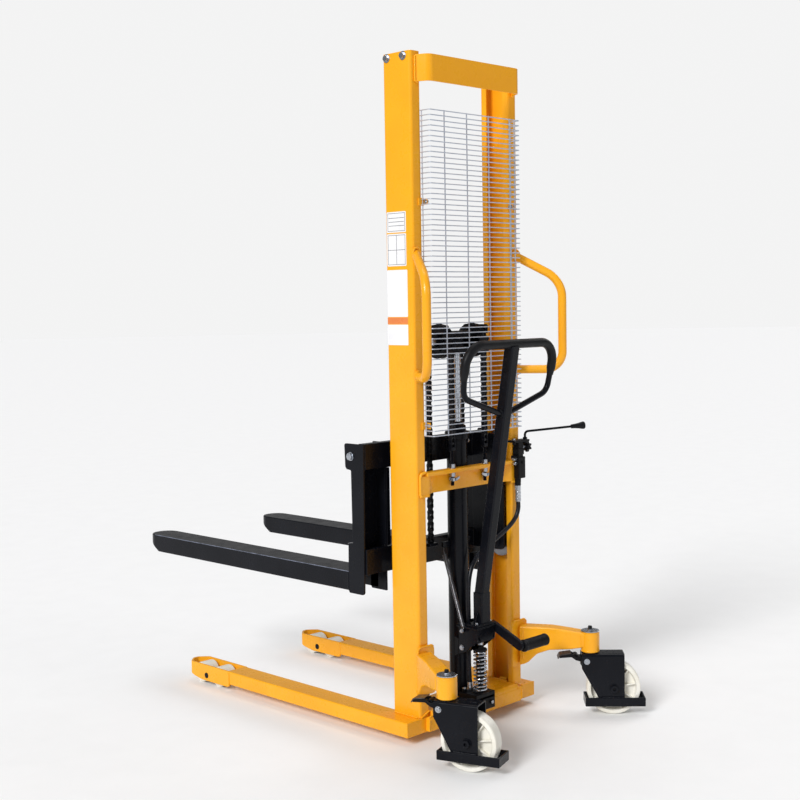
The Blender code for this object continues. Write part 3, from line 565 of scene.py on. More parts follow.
def cross_members():
    """The bent beam at the top, the shelf that holds the chain anchors, and the box between the legs."""
    foot, bend, rear, thick, radius = 232, 214, -45, 6, 26
    slant, inner = thick * 1.08, rear + thick
    outline = [(-foot, -GAP), (-bend, rear), (bend, rear), (foot, -GAP), (foot - slant, -GAP)]
    outline += [(bend - slant + 1.6, inner), (-bend + slant - 1.6, inner), (-foot + slant, -GAP)]
    outline = arcs(outline, [0, radius, radius, 0, 0, radius - thick, radius - thick, 0], 8)
    piece("top_beam", "chassis", "yellow", [prism(outline, "Z", MAST_TOP - 94, MAST_TOP - 12, 1.2)],
          ["top_crossbeam"])
    half = [(237, -6.6), (199, -6.6), (166, 16.2), (-166, 16.2), (-199, -6.6), (-237, -6.6)]
    inside = [(-237, -GAP), (-201.4, -GAP), (-168, 21.8), (168, 21.8), (201.4, -GAP), (237, -GAP)]
    plate = prism(arcs(half + inside, [0, 14, 20, 20, 14, 0, 0, 9, 14, 14, 9, 0], 6), "Z", 783,
                  SHELF_UNDER + 1, 1.2)
    outline = [(-216, -14), (216, -14), (216, -GAP), (201, -GAP), (201, 14), (168, 22), (36, 22)]
    outline += [(36 * cos(t), CYLINDER_Y - 36 * sin(t)) for t in (radians(80), pi / 2, radians(100))]
    outline += [(-36, 22), (-168, 22), (-201, 14), (-201, -GAP), (-216, -GAP)]
    shelf = prism(outline, "Z", SHELF_UNDER, SHELF_TOP, 1.6)
    piece("mid_shelf", "chassis", "yellow", [plate, shelf], ["mid_crossmember"])
    beads = []
    for _, side in SIDES:
        x = side * 234
        beads.append(weld([(x, -3, MAST_TOP - 15), (x, -3, MAST_TOP - 92), (side * 224, -4, MAST_TOP - 97)],
                          3.4, 7))
        beads.append(weld([(side * 200, -5, 780), (side * 236, -5, 780), (side * 239, -4, 786),
                           (side * 239, -4, 842),
                           (side * 234, -5, 852), (side * 217, -8, 856)], 4.6, 9))
        beads.append(weld([(side * 212, -6, 841), (side * 175, 11, 841)], 2.6, 10))
    piece("cross_member_welds", "chassis", "yellow", beads)
    base = [
        box((-LEG_IN + GAP, LEG_IN - GAP), (-18, MAST_DEPTH), (30, LEG_TOP - GAP), 4, 4),
        prism(arcs([(-17, 60), (-17, 92), (MAST_DEPTH, 92), (MAST_DEPTH, 60)], [0, 12, 4, 0], 6), "X", -207,
              207, 1.5),
    ]
    piece("base_box", "chassis", "yellow", base, ["base_frame"])
    seams = []
    for _, side in SIDES:
        x = side * (LEG_IN + 0.5)
        seams.append(weld([(x, -17, 36), (x, -19, 70)], 3.2, 12))
        seams.append(weld([(x, -14, LEG_TOP), (side * 209, -14, 80), (side * 208, -10, 91)], 3.4, 14))
        seams.append(weld([(side * 208, 30, 92), (side * 208, 108, 92)], 3.4, 15))
    piece("base_welds", "chassis", "yellow", seams)


@on_both_sides
def legs(label, side):
    corner = 32
    beam = box(span(side, LEG_IN + 1.0, LEG_OUT - 0.4), (0, BEAM_END + 8), (LEG_BOTTOM, LEG_TOP - 0.4), 5, 5)
    cover = box(span(side, LEG_IN - 34, LEG_OUT - 1), (-3.2, 4), (LEG_BOTTOM + 1, LEG_TOP), 1.6)
    plan = [
        (LEG_IN, BEAM_END - 3), (LEG_OUT, BEAM_END - 3), (LEG_OUT, HOUSING_TIP - corner),
        (LEG_OUT - corner, HOUSING_TIP),
        (LEG_IN + corner, HOUSING_TIP), (LEG_IN, HOUSING_TIP - corner),
    ]
    w, tip = HOUSING_WALL, HOUSING_TIP
    pocket = [
        (LEG_IN + w, BEAM_END - 12), (LEG_OUT - w, BEAM_END - 12), (LEG_OUT - w, tip - corner - 3),
        (LEG_OUT - corner - 3, tip - w), (LEG_IN + corner + 3, tip - w), (LEG_IN + w, tip - corner - 3),
    ]
    under = [(880, 6), (880, 24), (905, 17), (1052, 17), (1096, 24), (tip + 4, 42), (tip + 4, 6)]
    housing = prism(arcs(mirrored(plan, side), [0, 0, 14, 14, 14, 14], 5), "Z", 12, LEG_TOP, 0)
    pin_hole = rod("X", BOGIE_PIN, 9.4, *span(side, 200, 340), 0)
    hollow = prism(arcs(mirrored(pocket, side), [0, 0, 8, 8, 8, 8], 4), "Z", 5, 95, 0)
    housing = less(housing, hollow, prism(under, "X", -340, 340, 0), pin_hole)
    rounded(housing, 1.6, 2, 40)
    plug = box(span(side, LEG_IN + w - 1, LEG_OUT - w + 1), (BEAM_END, BEAM_END + 9),
               (LEG_BOTTOM + 1, LEG_TOP - 2), 0.6)
    seams = [weld([(side * x, BEAM_END - 4, 30), (side * x, BEAM_END - 4, 70)], 2.4, seed)
             for x, seed in ((LEG_OUT + 0.2, 20), (LEG_IN + 1.4, 21))]
    piece(f"leg_beam_{label}", "chassis", "yellow", [beam, cover, housing, plug] + seams, [f"leg_{label}"])
    inner, outer = LEG_IN + w + 0.7, LEG_OUT - w - 0.7
    ends = [(BOGIE_Y - 64, 24), (BOGIE_Y + 64, 24), (BOGIE_Y + 64, 50), (BOGIE_Y - 64, 50)]
    parts = [prism(arcs(ends, 12), "X", *span(side, a, b)) for a,
             b in ((inner, inner + 3.8), (outer - 3.8, outer))]
    for shift in (-ROLLER_SPAN, ROLLER_SPAN):
        parts.append(rod("X", (BOGIE_Y + shift, ROLLER_R), 8, *span(side, inner + 1, outer - 1)))
        parts.append(rod("X", (BOGIE_Y + shift, ROLLER_R), 11.5, *span(side, inner + 3.5, outer - 3.5), 0.5))
    parts.append(rod("X", BOGIE_PIN, 8.6, *span(side, LEG_IN + 3, LEG_OUT - 3), 1.2))
    piece(f"bogie_plates_{label}", f"bogie_{label}_body", "steel", parts, [f"bogie_{label}"])
    caps = [rod("X", BOGIE_PIN, 10.5, *span(side, x, x + out), 0.8)
            for x, out in ((LEG_OUT - 3, 4.2), (LEG_IN + 3, -4.2))]
    piece(f"bogie_pin_caps_{label}", f"bogie_{label}_body", "black", caps)
    low, high = inner + 4.8, outer - 4.8
    for word, y in (("rear", BOGIE_Y - ROLLER_SPAN), ("front", BOGIE_Y + ROLLER_SPAN)):
        r = ROLLER_R
        outline = [
            (11.7, low), (r - 7, low), (r - 2.5, low + 1), (r - 0.6, low + 3), (r, low + 6), (r, high - 6),
            (r - 0.6, high - 3), (r - 2.5, high - 1), (r - 7, high), (11.7, high),
        ]
        ring = lathe([(a, side * x) for a, x in outline], (0, y, ROLLER_R), "X", 64)
        name = f"load_roller_{word}_{label}"
        piece(f"{name}_tyre", f"{name}_body", "nylon", [ring], [name])


@on_both_sides
def outriggers(label, side):
    start, reach = Vector((side * 240, -6)), Vector((side * KINGPIN_X, KINGPIN_Y))
    run = (reach - start).length
    profile = [(0, 158), (14, 158), (30, 166), (60, 196), (100, 211), (run - 60, 218), (run - 18, 226),
               (run - 12, 274), (run - 66, 281), (run - 130, 288), (0, 288)]
    arm = prism(arcs(profile, [0, 10, 12, 24, 40, 60, 0, 0, 60, 60, 0], 5), "Y", -27, 27, 5, 4, 35)
    along = (reach - start).normalized()
    turn = Matrix(((along.x, -along.y, 0, start.x * MM), (along.y, along.x, 0, start.y * MM), (0, 0, 1, 0),
                   (0, 0, 0, 1)))
    arm = less(turned(arm, turn), box(span(side, 150, 330), (-GAP, 60), (140, 320), 0))
    r, low, high = KINGPIN_R, KINGPIN_BASE, KINGPIN_TOP
    barrel = lathe(
        [(12.5, low), (r - 2.5, low), (r, low + 2.5), (r, low + 6), (r - 0.6, low + 6.8), (r, low + 7.6),
         (r, high - 7.6), (r - 0.6, high - 6.8), (r, high - 6), (r, high - 2.5), (r - 2.5, high),
         (12.5, high)],
        (side * KINGPIN_X, KINGPIN_Y, 0), "Z", 64,
    )
    lug_outline = [(192, 150), (268, 150), (268, 306), (192, 306)]
    lug = prism(arcs(mirrored(lug_outline, side), [3, 6, 16, 16], 6), "Y", -10, -GAP, 2)
    edge_line = [(side * x, -8, z) for x, z in ((196, 300), (204, 305), (256, 305), (265, 298), (266.5, 160))]
    beads = [weld(edge_line, 3.6, 30)]
    across = Vector((-along.y, along.x))
    for k in (-1, 1):
        foot = start + along * 10 + across * k * 27
        tip = start + along * (run - 26) + across * k * 26
        beads.append(weld([(foot.x, foot.y - 3, 170), (foot.x, foot.y - 3, 282)], 3.2, 31))
        beads.append(weld([(tip.x, tip.y, 230), (tip.x, tip.y, 268)], 3.4, 32))
    piece(f"outrigger_arm_{label}", "chassis", "yellow", [barrel, arm, lug] + beads, [f"outrigger_{label}"])


# ---------------------------------------------------------------- casters
@on_both_sides
def casters(label, side):
    place = Matrix.Translation(Vector((side * KINGPIN_X, KINGPIN_Y,
                                       0)) * MM) @ Matrix.Rotation(radians(YAW[label]), 4, "Z")

    def here(shapes):
        return [turned(bm, place) for bm in shapes]

    section = [(34.8, 54), (34.8, 207), (-34.8, 207), (-34.8, 54), (-30, 54), (-30, 202), (30, 202), (30, 54)]
    fold = prism(arcs(section, [0, 10, 10, 0, 0, 5, 5, 0], 6), "Y", -110.8, 30.8, 0)
    slope = prism([(45, 158), (30.8, 158), (-27, 54), (-27, 40), (45, 40)], "X", -50, 50, 0)
    fold = rounded(less(fold, slope), 0.7, 2, 50)
    guard = less(box((-41, 41), (-180, 20), (31, 60), 2.2), box((-35, 35), (-174.6, 14.6), (0, 90), 0))
    axle, brake = (-TRAIL, WHEEL_R), (14, 182)
    shapes = [fold, rounded(guard, 0.8, 2, 50), rod("X", axle, 9.8, -30, 30), rod("X", brake, 5, -36, 36)]
    shapes += [rod("Z", (0, 0), 29, 206, KINGPIN_BASE - GAP, 0.8), rod("Z", (0, 0), 12, 203, 279)]
    for k in (-1, 1):
        shapes += [weld([(k * 36.5, y0, 61), (k * 36.5, y1, 60.5)], 3.2, 41 + k) for y0,
                   y1 in ((-34, -108), (-30, -24))]
        shapes.append(rod("X", axle, 16, *span(k, 34.8, 37.4), 0.7))
        head = hexagon("X", axle, 13.5, *span(k, 37.4, 46))
        shapes.append(less(head, rod("X", axle, 5.6, *span(k, 39, 50), 0, 24)))
    for x, y in ((-12, -42), (9, -55), (-3, -78)):
        shapes.append(lathe([(0.01, 208.2), (1.8, 208), (3.2, 206.8), (3.2, 205), (0.01, 205)], (x, y, 0),
                            "Z", 20))
    piece(f"caster_body_{label}", f"caster_{label}", "black", here(shapes), [f"caster_fork_{label}"])
    bright = [lathe(
        [(0.01, 277.4), (29.8, 277.4), (31, 278.4), (31, 280.2), (29.6, 281.6), (13, 281.6), (12, 283),
         (0.01, 283)],
        (0, 0, 0), "Z", 64), hexagon("Z", (0, 0), 8.5, 282.8, 286)]
    for k in (-1, 1):
        bright.append(rod("X", brake, 10, *span(k, 34.8, 36.2), 0.5))
        cap = rod("X", brake, 7.6, *span(k, 36.2, 39.5), 1.4)
        bright.append(less(cap, rod("X", brake, 3.2, *span(k, 37.8, 44), 0, 6)))
    piece(f"caster_bright_{label}", f"caster_{label}", "zinc", here(bright))
    nipple = [lathe([(0.01, 285.5), (6.4, 285.5), (7.2, 287), (7.2, 293), (5.6, 295.6), (0.01, 296)],
                    (0, 0, 0), "Z", 32)]
    piece(f"caster_nipple_{label}", f"caster_{label}", "rubber", here(nipple))

    half = [(10.6, 28), (20, 28), (22.5, 26), (25, 9), (30, 6.5), (66, 6.5), (72, 9), (74.5, 22.5), (77, 25),
            (84, 25),
            (88, 23.2), (89.5, 20), (90, 15)]
    outline = [(r, -x) for r, x in half] + half[::-1]
    wheel = [lathe(outline, (0, -TRAIL, WHEEL_R), "X", 96)]
    for i in range(9):
        spin = Matrix.Translation((0, -TRAIL * MM, WHEEL_R * MM)) @ Matrix.Rotation(i * 2 * pi / 9, 4, "X")
        wheel += [turned(box(x, (-2.2, 2.2), (20, 75), 1.2, 2), spin) for x in ((5, 19), (-19, -5))]
    piece(f"wheel_tyre_{label}", f"caster_wheel_{label}_body", "nylon", here(wheel),
          [f"caster_wheel_{label}"])
    sleeve = lathe([(10.1, -29), (14, -29), (14, 29), (10.1, 29)], (0, -TRAIL, WHEEL_R), "X", 32)
    piece(f"wheel_sleeve_{label}", f"caster_wheel_{label}_body", "steel", here([sleeve]))

    lever = [(104, 190), (104, 197), (62, 204), (46, 194), (24, 193), (14, 197), (4, 190), (-4, 162),
             (-2, 151),
             (8, 146), (18, 156), (24, 176), (48, 182), (64, 193)]
    arm = prism(arcs(lever, [0, 0, 6, 8, 10, 4, 6, 10, 4, 4, 6, 10, 8, 10], 4), "X", -20, 20, 1.5)
    notch = box((-11, 11), (40, 70), (170, 230), 0)
    roll = lathe([(5.5, -16), (9.5, -16), (9.5, 16), (5.5, 16)], (0, 50, 194), "X", 32)
    piece(f"brake_arm_{label}", f"brake_{label}", "casting", here([less(arm, notch), roll]),
          [f"brake_lever_{label}"])
    pad = [(63, 208), (66, 204.6), (101, 199), (108, 188), (110.6, 189.4), (104, 201.4), (98, 203.4)]
    pad = prism(arcs(pad, [1, 3, 4, 0.6, 0.6, 4, 3], 4), "X", -21, 21, 0.7)
    piece(f"brake_pad_{label}", f"brake_{label}", "wear_and_painted_highlights", here([pad]))


# ---------------------------------------------------------------- guard, handles
def guard():
    half, rear, low, high, rows = 214, -43, 970, 1974, 64
    plan = [(-half, -GAP - 3), (-half, rear + 5), (-half + 1.5, rear + 1.5), (-half + 5, rear),
            (half - 5, rear),
            (half - 1.5, rear + 1.5), (half, rear + 5), (half, -GAP - 3)]
    wires = []
    for i in range(rows):
        z = low + (high - low) * i / (rows - 1)
        wires.append(tube([(x, y, z) for x, y in plan], 1.75, 8))
    for x in (-145, -41, 63, 167):
        wires.append(tube([(x, rear + 3.2, low - 3), (x, rear + 3.2, high + 3)], 1.9, 8))
    for x, y in ((-half + 3.2, -6), (half - 3.2, -6), (half - 3.2, rear + 19)):
        wires.append(tube([(x, y, low - 2), (x, y, high + 2)], 1.9, 8))
    piece("guard_wires", "chassis", "wire", wires, ["wire_guard"])
    tabs, heads = [], []
    for _, side in SIDES:
        for z in (1001, 1696):
            tabs.append(box(span(side, 203, 226), (-4, -GAP), (z - 12, z + 12), 1.2))
            tabs.append(box(span(side, 203, 207), (-20, -1), (z - 10, z + 10), 1))
            heads += bolt("X", (-13, z), 5.5, side * 203, 5, -side)
            heads += bolt("X", (-13, z), 5.5, side * 207, 4, side)
    piece("guard_tabs", "chassis", "yellow", tabs)
    piece("guard_bolts", "chassis", "zinc", heads)


@on_both_sides
def push_handles(label, side):
    path = [(side * 233, 9, 1541), (side * 328, -126, 1452), (side * 328, -126, 1157), (side * 233, 9, 1157)]
    bar = less(tube(filleted(path, (95, 58), 5), 14, 32),
               box(span(side, 190, 290), (-GAP, 80), (1100, 1600), 0))
    rings = []
    for z in (1538, 1157):
        ring = [(side * 239 + 15.5 * cos(t * pi / 12), -3.5, z + 16 * sin(t * pi / 12)) for t in range(25)]
        rings.append(weld(ring, 4.2, 50))
    piece(f"handle_tube_{label}", "chassis", "yellow", [bar] + rings, [f"push_handle_{label}"])


# ---------------------------------------------------------------- lift cylinder, crosshead and chains
def lift():
    barrel = rod("Z", (0, CYLINDER_Y), CYLINDER_R, 92 + GAP, 958, 1, 72)
    gland = lathe(
        [(15.5, 938), (36, 938), (39, 940), (40, 943), (40, 961), (38, 965), (31, 968), (30, 971), (30, 982),
         (28, 985),
         (22.5, 987), (22, 995), (20, 997), (15.5, 997)], (0, CYLINDER_Y, 0), "Z", 72)
    foot = lathe([(33, 93), (38, 93), (39, 96), (37, 101), (33, 103)], (0, CYLINDER_Y, 0), "Z", 60)
    shapes = [barrel, gland, foot, box((-67, -20), (62, 70), (588, 606), 1.5)]
    cheek = arcs([(50, 226), (50, 292), (2, 279), (-9, 263), (2, 247)], [2, 2, 12, 10, 12], 5)
    for k in (-1, 1):
        shapes.append(prism(cheek, "X", *span(k, 27, 33), 1))
        shapes.append(rod("X", PIVOT, 6.9, *span(k, 30, 46)))
        shapes.append(weld([(k * 32, 34, 232), (k * 31, 33, 288)], 3, 60))
    shapes += [rod("X", (CYLINDER_Y, 930), 9, 30, 46, 1), rod("X", (CYLINDER_Y, 700), 6, 30, 39, 1)]
    piece("cylinder_barrel", "chassis", "black", shapes, ["lift_cylinder"])
    fittings = []
    for k in (-1, 1):
        fittings += bolt("X", PIVOT, 7.6, k * 44.6, 4, k, 1.2)
    fittings += bolt("X", (CYLINDER_Y, 930), 7, 46, 7, 1)
    fittings += [rod("X", (CYLINDER_Y, 700), 4, 38, 43, 0.8)]
    piece("cylinder_fittings", "chassis", "zinc", fittings)
    piece("lift_rod_chrome", "ram", "chrome", [rod("Z", (0, CYLINDER_Y), ROD_R, 336, 1238, 1, 64)],
          ["lift_rod"])
    block = box((-50, 50), (26, 88), (1238 + GAP, 1292), 3)
    guard_plate = [(8, 1282), (42, 1282), (47, 1250), (65, 1250), (70, 1282), (98, 1282), (98, 1312),
                   (8, 1312)]
    cheek = arcs(guard_plate, [2, 10, 8, 8, 10, 2, 7, 7], 5)
    shapes = [block, box((-86, 86), (-12, -5), (1222, 1274), 2), box((-40, 40), (-12, 30), (1240, 1274), 2)]
    shapes += [rod("X", (-4, 1230), 6, -90, 90, 1), rod("X", (-6, 1266), 5, -90, 90, 1)]
    for k in (-1, 1):
        shapes.append(prism(cheek, "X", *span(k, 98, 106), 1.5))
        shapes.append(prism(arcs([(8, 1304), (98, 1304), (98, 1312), (8, 1312)], [0, 0, 5, 5]), "X",
                            *span(k, 84, 100), 1))
        shapes.append(rod("X", CHAIN_AXLE, 18, *span(k, 95, 108), 1))
    shapes.append(rod("X", CHAIN_AXLE, 14, -100, 100))
    piece("crosshead_frame", "ram", "black", shapes, ["crosshead"])
    piece("crosshead_pins", "ram", "zinc",
          bolt("X", CHAIN_AXLE, 9, 108, 5, 1) + bolt("X", CHAIN_AXLE, 9, -108, 5, -1))


def chain_link(a, b, outer, x):
    """One link between two pins, given as (y, z): two waisted plates, and the roller on its first pin."""
    a, b = Vector(a), Vector(b)
    along = (b - a).normalized()
    across = Vector((-along.y, along.x))
    round_end, waist = 7.6, 6.2
    plate = []
    for centre, way in ((a, -1), (b, 1)):
        for k in range(9):
            t = radians(-115 + 230 * k / 8)
            plate.append(centre + along * way * round_end * cos(t) + across * way * round_end * sin(t))
        plate.append((a + b) / 2 + across * way * waist)
    plate = [tuple(p) for p in plate]
    near, far = (6.6, 8.6) if outer else (4.2, 6.2)
    shapes = [prism(plate, "X", *sorted((x + k * near, x + k * far)), 0.35, 1, 60) for k in (-1, 1)]
    shapes.append(rod("X", tuple(a), 5.6, x - 4.0, x + 4.0, 0.4, 16))
    if outer:
        shapes += [rod("X", tuple(p), 3.0, x - 10.2, x + 10.2, 0.5, 12) for p in (a, b)]
    return shapes


def chain_run(line, x, first=0):
    """Links along a line of pins."""
    shapes = []
    for i, (a, b) in enumerate(zip(line, line[1:])):
        shapes += chain_link(a, b, (i + first) % 2 == 0, x)
    return shapes


def pins(y, low, high):
    """The pins of an upright run, about one pitch apart."""
    count = round((high - low) / CHAIN_PITCH)
    return [(y, low + (high - low) * i / count) for i in range(count + 1)]


@on_both_sides
def chains(label, side):
    rear, front = CHAIN_Y - CHAIN_R, CHAIN_Y + CHAIN_R
    anchor_top, carriage_end = 934, 606
    x = side * CHAIN_X
    line = pins(rear, anchor_top, CHAIN_Z)
    count = len(line) - 1
    piece(f"chain_rear_links_{label}", "chassis", "chain", chain_run(line, x), [f"chain_rear_{label}"],
          flex=("ram", (0, 0, anchor_top + 10), (0, 0, CHAIN_Z)))
    turns = round(pi * CHAIN_R / CHAIN_PITCH)
    arc = [pi - pi * i / turns for i in range(turns + 1)]
    line = [(CHAIN_Y + CHAIN_R * cos(t), CHAIN_Z + CHAIN_R * sin(t)) for t in arc]
    piece(f"chain_wrap_links_{label}", "ram", "chain", chain_run(line, x, count), [f"chain_wrap_{label}"])
    piece(f"chain_front_links_{label}", "ram", "chain", chain_run(pins(front, carriage_end, CHAIN_Z), x),
          [f"chain_front_{label}"],
          flex=("carriage", (0, 0, CHAIN_Z), (0, 0, carriage_end + 10)))
    groove, rim = CHAIN_R - 7.4, CHAIN_R + 7
    half = [(14.5, 14.2), (20, 14.2), (22, 11.5), (36, 11.5), (38, 14.2), (rim - 6, 14.2), (rim - 2, 12.8),
            (rim - 2, 11.2),
            (rim - 7, 10.6), (groove, 9.4)]
    outline = [(r, -w) for r, w in half] + half[::-1]
    wheel = lathe(outline, (x, CHAIN_Y, CHAIN_Z), "X", 72)
    name = f"chain_wheel_{label}"
    holes = [rod("X", (CHAIN_Y + 29 * cos(t), CHAIN_Z + 29 * sin(t)), 6, x - 30, x + 30, 0, 20)
             for t in (i * pi / 3 for i in range(6))]
    piece(f"{name}_disc", f"{name}_body", "black", [less(wheel, *holes)], [name])
    thread = [(0.01, 798), (4.6, 798)]
    z = 799.5
    while z < 921:
        thread += [(5.9, z), (5.1, z + 0.9)]
        z += 1.8
    thread += [(5.1, 921), (0.01, 921)]
    deep = (rear - 7, rear + 7)
    rods = [lathe(thread, (x, rear, 0), "Z", 24), box((x - 9.5, x - 6.9), deep, (914, 945), 1.2),
            box((x + 6.9, x + 9.5), deep, (914, 945), 1.2), box((x - 9, x + 9), deep, (910, 922), 1.6)]
    piece(f"anchor_thread_{label}", "chassis", "black", rods, [f"anchor_rod_{label}"])
    nuts = [hexagon("Z", (x, rear), 10.6, a, b) for a,
            b in ((SHELF_TOP + 2.2, SHELF_TOP + 14), (828, 839.6), (813, 824))]
    nuts += [rod("Z", (x, rear), 12, a, b, 0.4, 32) for a,
             b in ((SHELF_TOP + GAP, SHELF_TOP + 2.2), (839.6, 841.8))]
    for k in (-1, 1):
        wing = arcs([(x + k * 7, 812), (x + k * 25, 821), (x + k * 24, 828), (x + k * 7, 823)], 2)
        nuts.append(prism(wing, "Y", rear - 10, rear - 6, 0.7))
    piece(f"anchor_nuts_{label}", "chassis", "zinc", nuts)


# ---------------------------------------------------------------- carriage and forks
def carriage():
    shapes = [box((-318.6, 318.6), (BAR_REAR, BAR_FRONT), z, 2) for z in (UPPER_BAR, LOWER_BAR)]
    beads = []
    for _, side in SIDES:
        plate = arcs([(24, 548), (24, 930), (70, 941), (161, 941), (161, 547), (60, 547)],
                     [14, 14, 20, 0, 0, 14], 5)
        shapes.append(prism(plate, "X", *span(side, 191, 199), 1.2))
        shapes.append(box(span(side, 60, 98), (92, 161), (590, 600.7), 1.5))
        for z in MAST_ROLLER_Z.values():
            shapes.append(rod("X", (MAST_DEPTH / 2, z), 14, *span(side, 196, 243.5)))
            shapes.append(rod("X", (MAST_DEPTH / 2, z), 20, *span(side, 187, 192), 1.5))
        for z0, z1 in ((UPPER_BAR[0] + 3, UPPER_BAR[1] - 6), (LOWER_BAR[0] + 28, LOWER_BAR[1] - 3)):
            beads += [weld([(side * x, 158.5, z0), (side * x, 158.5, z1)], 3.4, 70) for x in (189, 201)]
        beads.append(weld([(side * 62, 159, 602), (side * 96, 159, 602)], 3, 71))
    piece("carriage_bars", "carriage", "black", shapes + beads, ["carriage_frame"])
    for label, side in SIDES:
        for word, z in MAST_ROLLER_Z.items():
            r = MAST_ROLLER_R
            outline = [(14.6, 215), (r - 3, 215), (r - 0.8, 216), (r, 218), (r, 240), (r - 0.8, 242),
                       (r - 3, 243),
                       (30, 243), (29, 241.5), (22, 241.5), (21, 243), (14.6, 243)]
            ring = lathe([(a, side * x) for a, x in outline], (0, MAST_DEPTH / 2, z), "X", 72)
            name = f"mast_roller_{word}_{label}"
            piece(f"{name}_ring", f"{name}_body", "steel", [ring], [name])


@on_both_sides
def forks(label, side):
    under, wall, nose = FORK_TOP - FORK_DEEP, FORK_WALL, 52
    middle = (FORK_IN + FORK_OUT) / 2
    outer = [(161, 941), (249, 941), (246, 866), (240, 858), (220, 856), (218, 622), (238, 619),
             (241, under + 2),
             (236, 458), (168, 458)]
    outer_round = [2, 7, 5, 4, 5, 3, 3, 5, 4, 10]
    inner = [(190.6, 941), (222, 941), (218, 622), (238, 619), (241, under + 2), (236, 458), (168, 458),
             (168, 522.5),
             (190.6, 522.5), (190.6, 604.5), (166, 604.5), (166, 859.5), (190.6, 859.5)]
    plan = [(FORK_IN, 206), (FORK_OUT, 206), (FORK_OUT, FORK_TIP - nose)]
    for i in range(1, 14):
        t = i * pi / 14
        plan.append((middle + (FORK_OUT - middle) * cos(t), FORK_TIP - nose + nose * sin(t)))
    plan.append((FORK_IN, FORK_TIP - nose))
    blade = prism([(side * (middle + (x - middle) * 0.985), y) for x, y in plan], "Z", under, FORK_TOP, 3.6,
                  4, 50)
    hollow = box(span(side, FORK_IN + wall, FORK_OUT - wall), (150, FORK_TIP - 60), (400, FORK_TOP - wall), 0)
    ramp = [(FORK_TIP - 75, under - 5), (FORK_TIP - 75, under), (FORK_TIP + 5, FORK_TOP - 14),
            (FORK_TIP + 5, under - 5)]
    blade = less(blade, hollow, prism(ramp, "X", -340, 340, 0))
    cheek = prism(arcs(outer, outer_round, 4), "X", *span(side, FORK_OUT - wall, FORK_OUT), 0.9)
    cheek2 = prism(arcs(inner, 2, 3), "X", *span(side, FORK_IN, FORK_IN + wall), 0.9)
    front = box(span(side, FORK_IN + 1, FORK_OUT - 1), (206, 212), (FORK_TOP - 5, 938), 1)
    gusset = box(span(side, FORK_IN - 13, FORK_IN + 2), (164, 205), (606, 858), 1.2)
    lower = box(span(side, FORK_IN - 13, FORK_IN + 2), (192, 232), (470, 604), 1.2)
    step = prism(arcs([(211, FORK_TOP - 2), (211, 624), (219, 621), (237, 618), (240, 612),
                       (240, FORK_TOP - 2)], [0, 2, 3, 3, 3, 0], 3),
                 "X", *span(side, FORK_IN + 2, FORK_OUT - 2), 1)
    seams = [
        weld([(side * (FORK_OUT - 1), 241, under + 4), (side * (FORK_OUT - 1), 241, FORK_TOP - 2)], 3, 80),
        weld([(side * (FORK_IN + 3), 241, FORK_TOP), (side * (FORK_OUT - 3), 241, FORK_TOP)], 3, 81),
        weld([(side * (FORK_OUT - 7), 192, 620), (side * (FORK_OUT - 7), 192, 850)], 2.4, 82),
    ]
    piece(f"fork_blade_{label}", "carriage", "black",
          [blade, cheek, cheek2, front, gusset, lower, step] + seams, [f"fork_{label}"])
    # Painted highlight: a bright steel strip on the slanted top of the neck's step, standing in for the light
    # that this face catches.
    step_highlight_strip = prism([(216, 621.6), (236, 618.6), (239, 614.6), (240.6, 616), (237.6, 620.4), (216, 624)], "X",
                 *span(side, FORK_OUT - 9, FORK_OUT + 0.3), 0.5)
    # Painted highlights: thin pale tubes along the blade's top outer edge and down the neck's front edge,
    # standing in for the light these rounded edges catch.
    rim = FORK_OUT - (FORK_OUT - middle) * 0.015 - 2.2
    wear_and_painted_highlights = [tube([(side * rim, 216, FORK_TOP - 2.2), (side * rim, FORK_TIP - nose, FORK_TOP - 2.2)], 2, 10),
            tube([(side * (FORK_OUT - 3), 212.5, FORK_TOP + 100), (side * (FORK_OUT - 3), 212.5, 840)], 1.2,
                 8)]
    piece(f"fork_painted_edge_highlights_{label}", "carriage", "painted edge highlight", wear_and_painted_highlights)
    piece(f"fork_step_painted_highlight_{label}", "carriage", "steel", [step_highlight_strip])
    piece(f"fork_bolt_{label}", "carriage", "zinc",
          bolt("X", (219, 900.6), 12.5, side * FORK_OUT, 7, side, 1.12))


# ---------------------------------------------------------------- pump, tiller, valve and hose
def coil(centre, radius, wire, low, high, turns):
    """A spring round a vertical line, with its end turns closed up."""
    per_turn, closed = 22, 0.8
    points = []
    for i in range(turns * per_turn + 1):
        t = i / per_turn
        share = min(max((t - closed) / (turns - 2 * closed), 0), 1)
        rise = wire * 2.1 * (min(t, closed) + max(t - turns + closed, 0)) + share * (high - low - wire * 3.4)
        points.append((centre[0] + radius * cos(t * 2 * pi), centre[1] + radius * sin(t * 2 * pi),
                       low + rise))
    return tube(points, wire, 8)


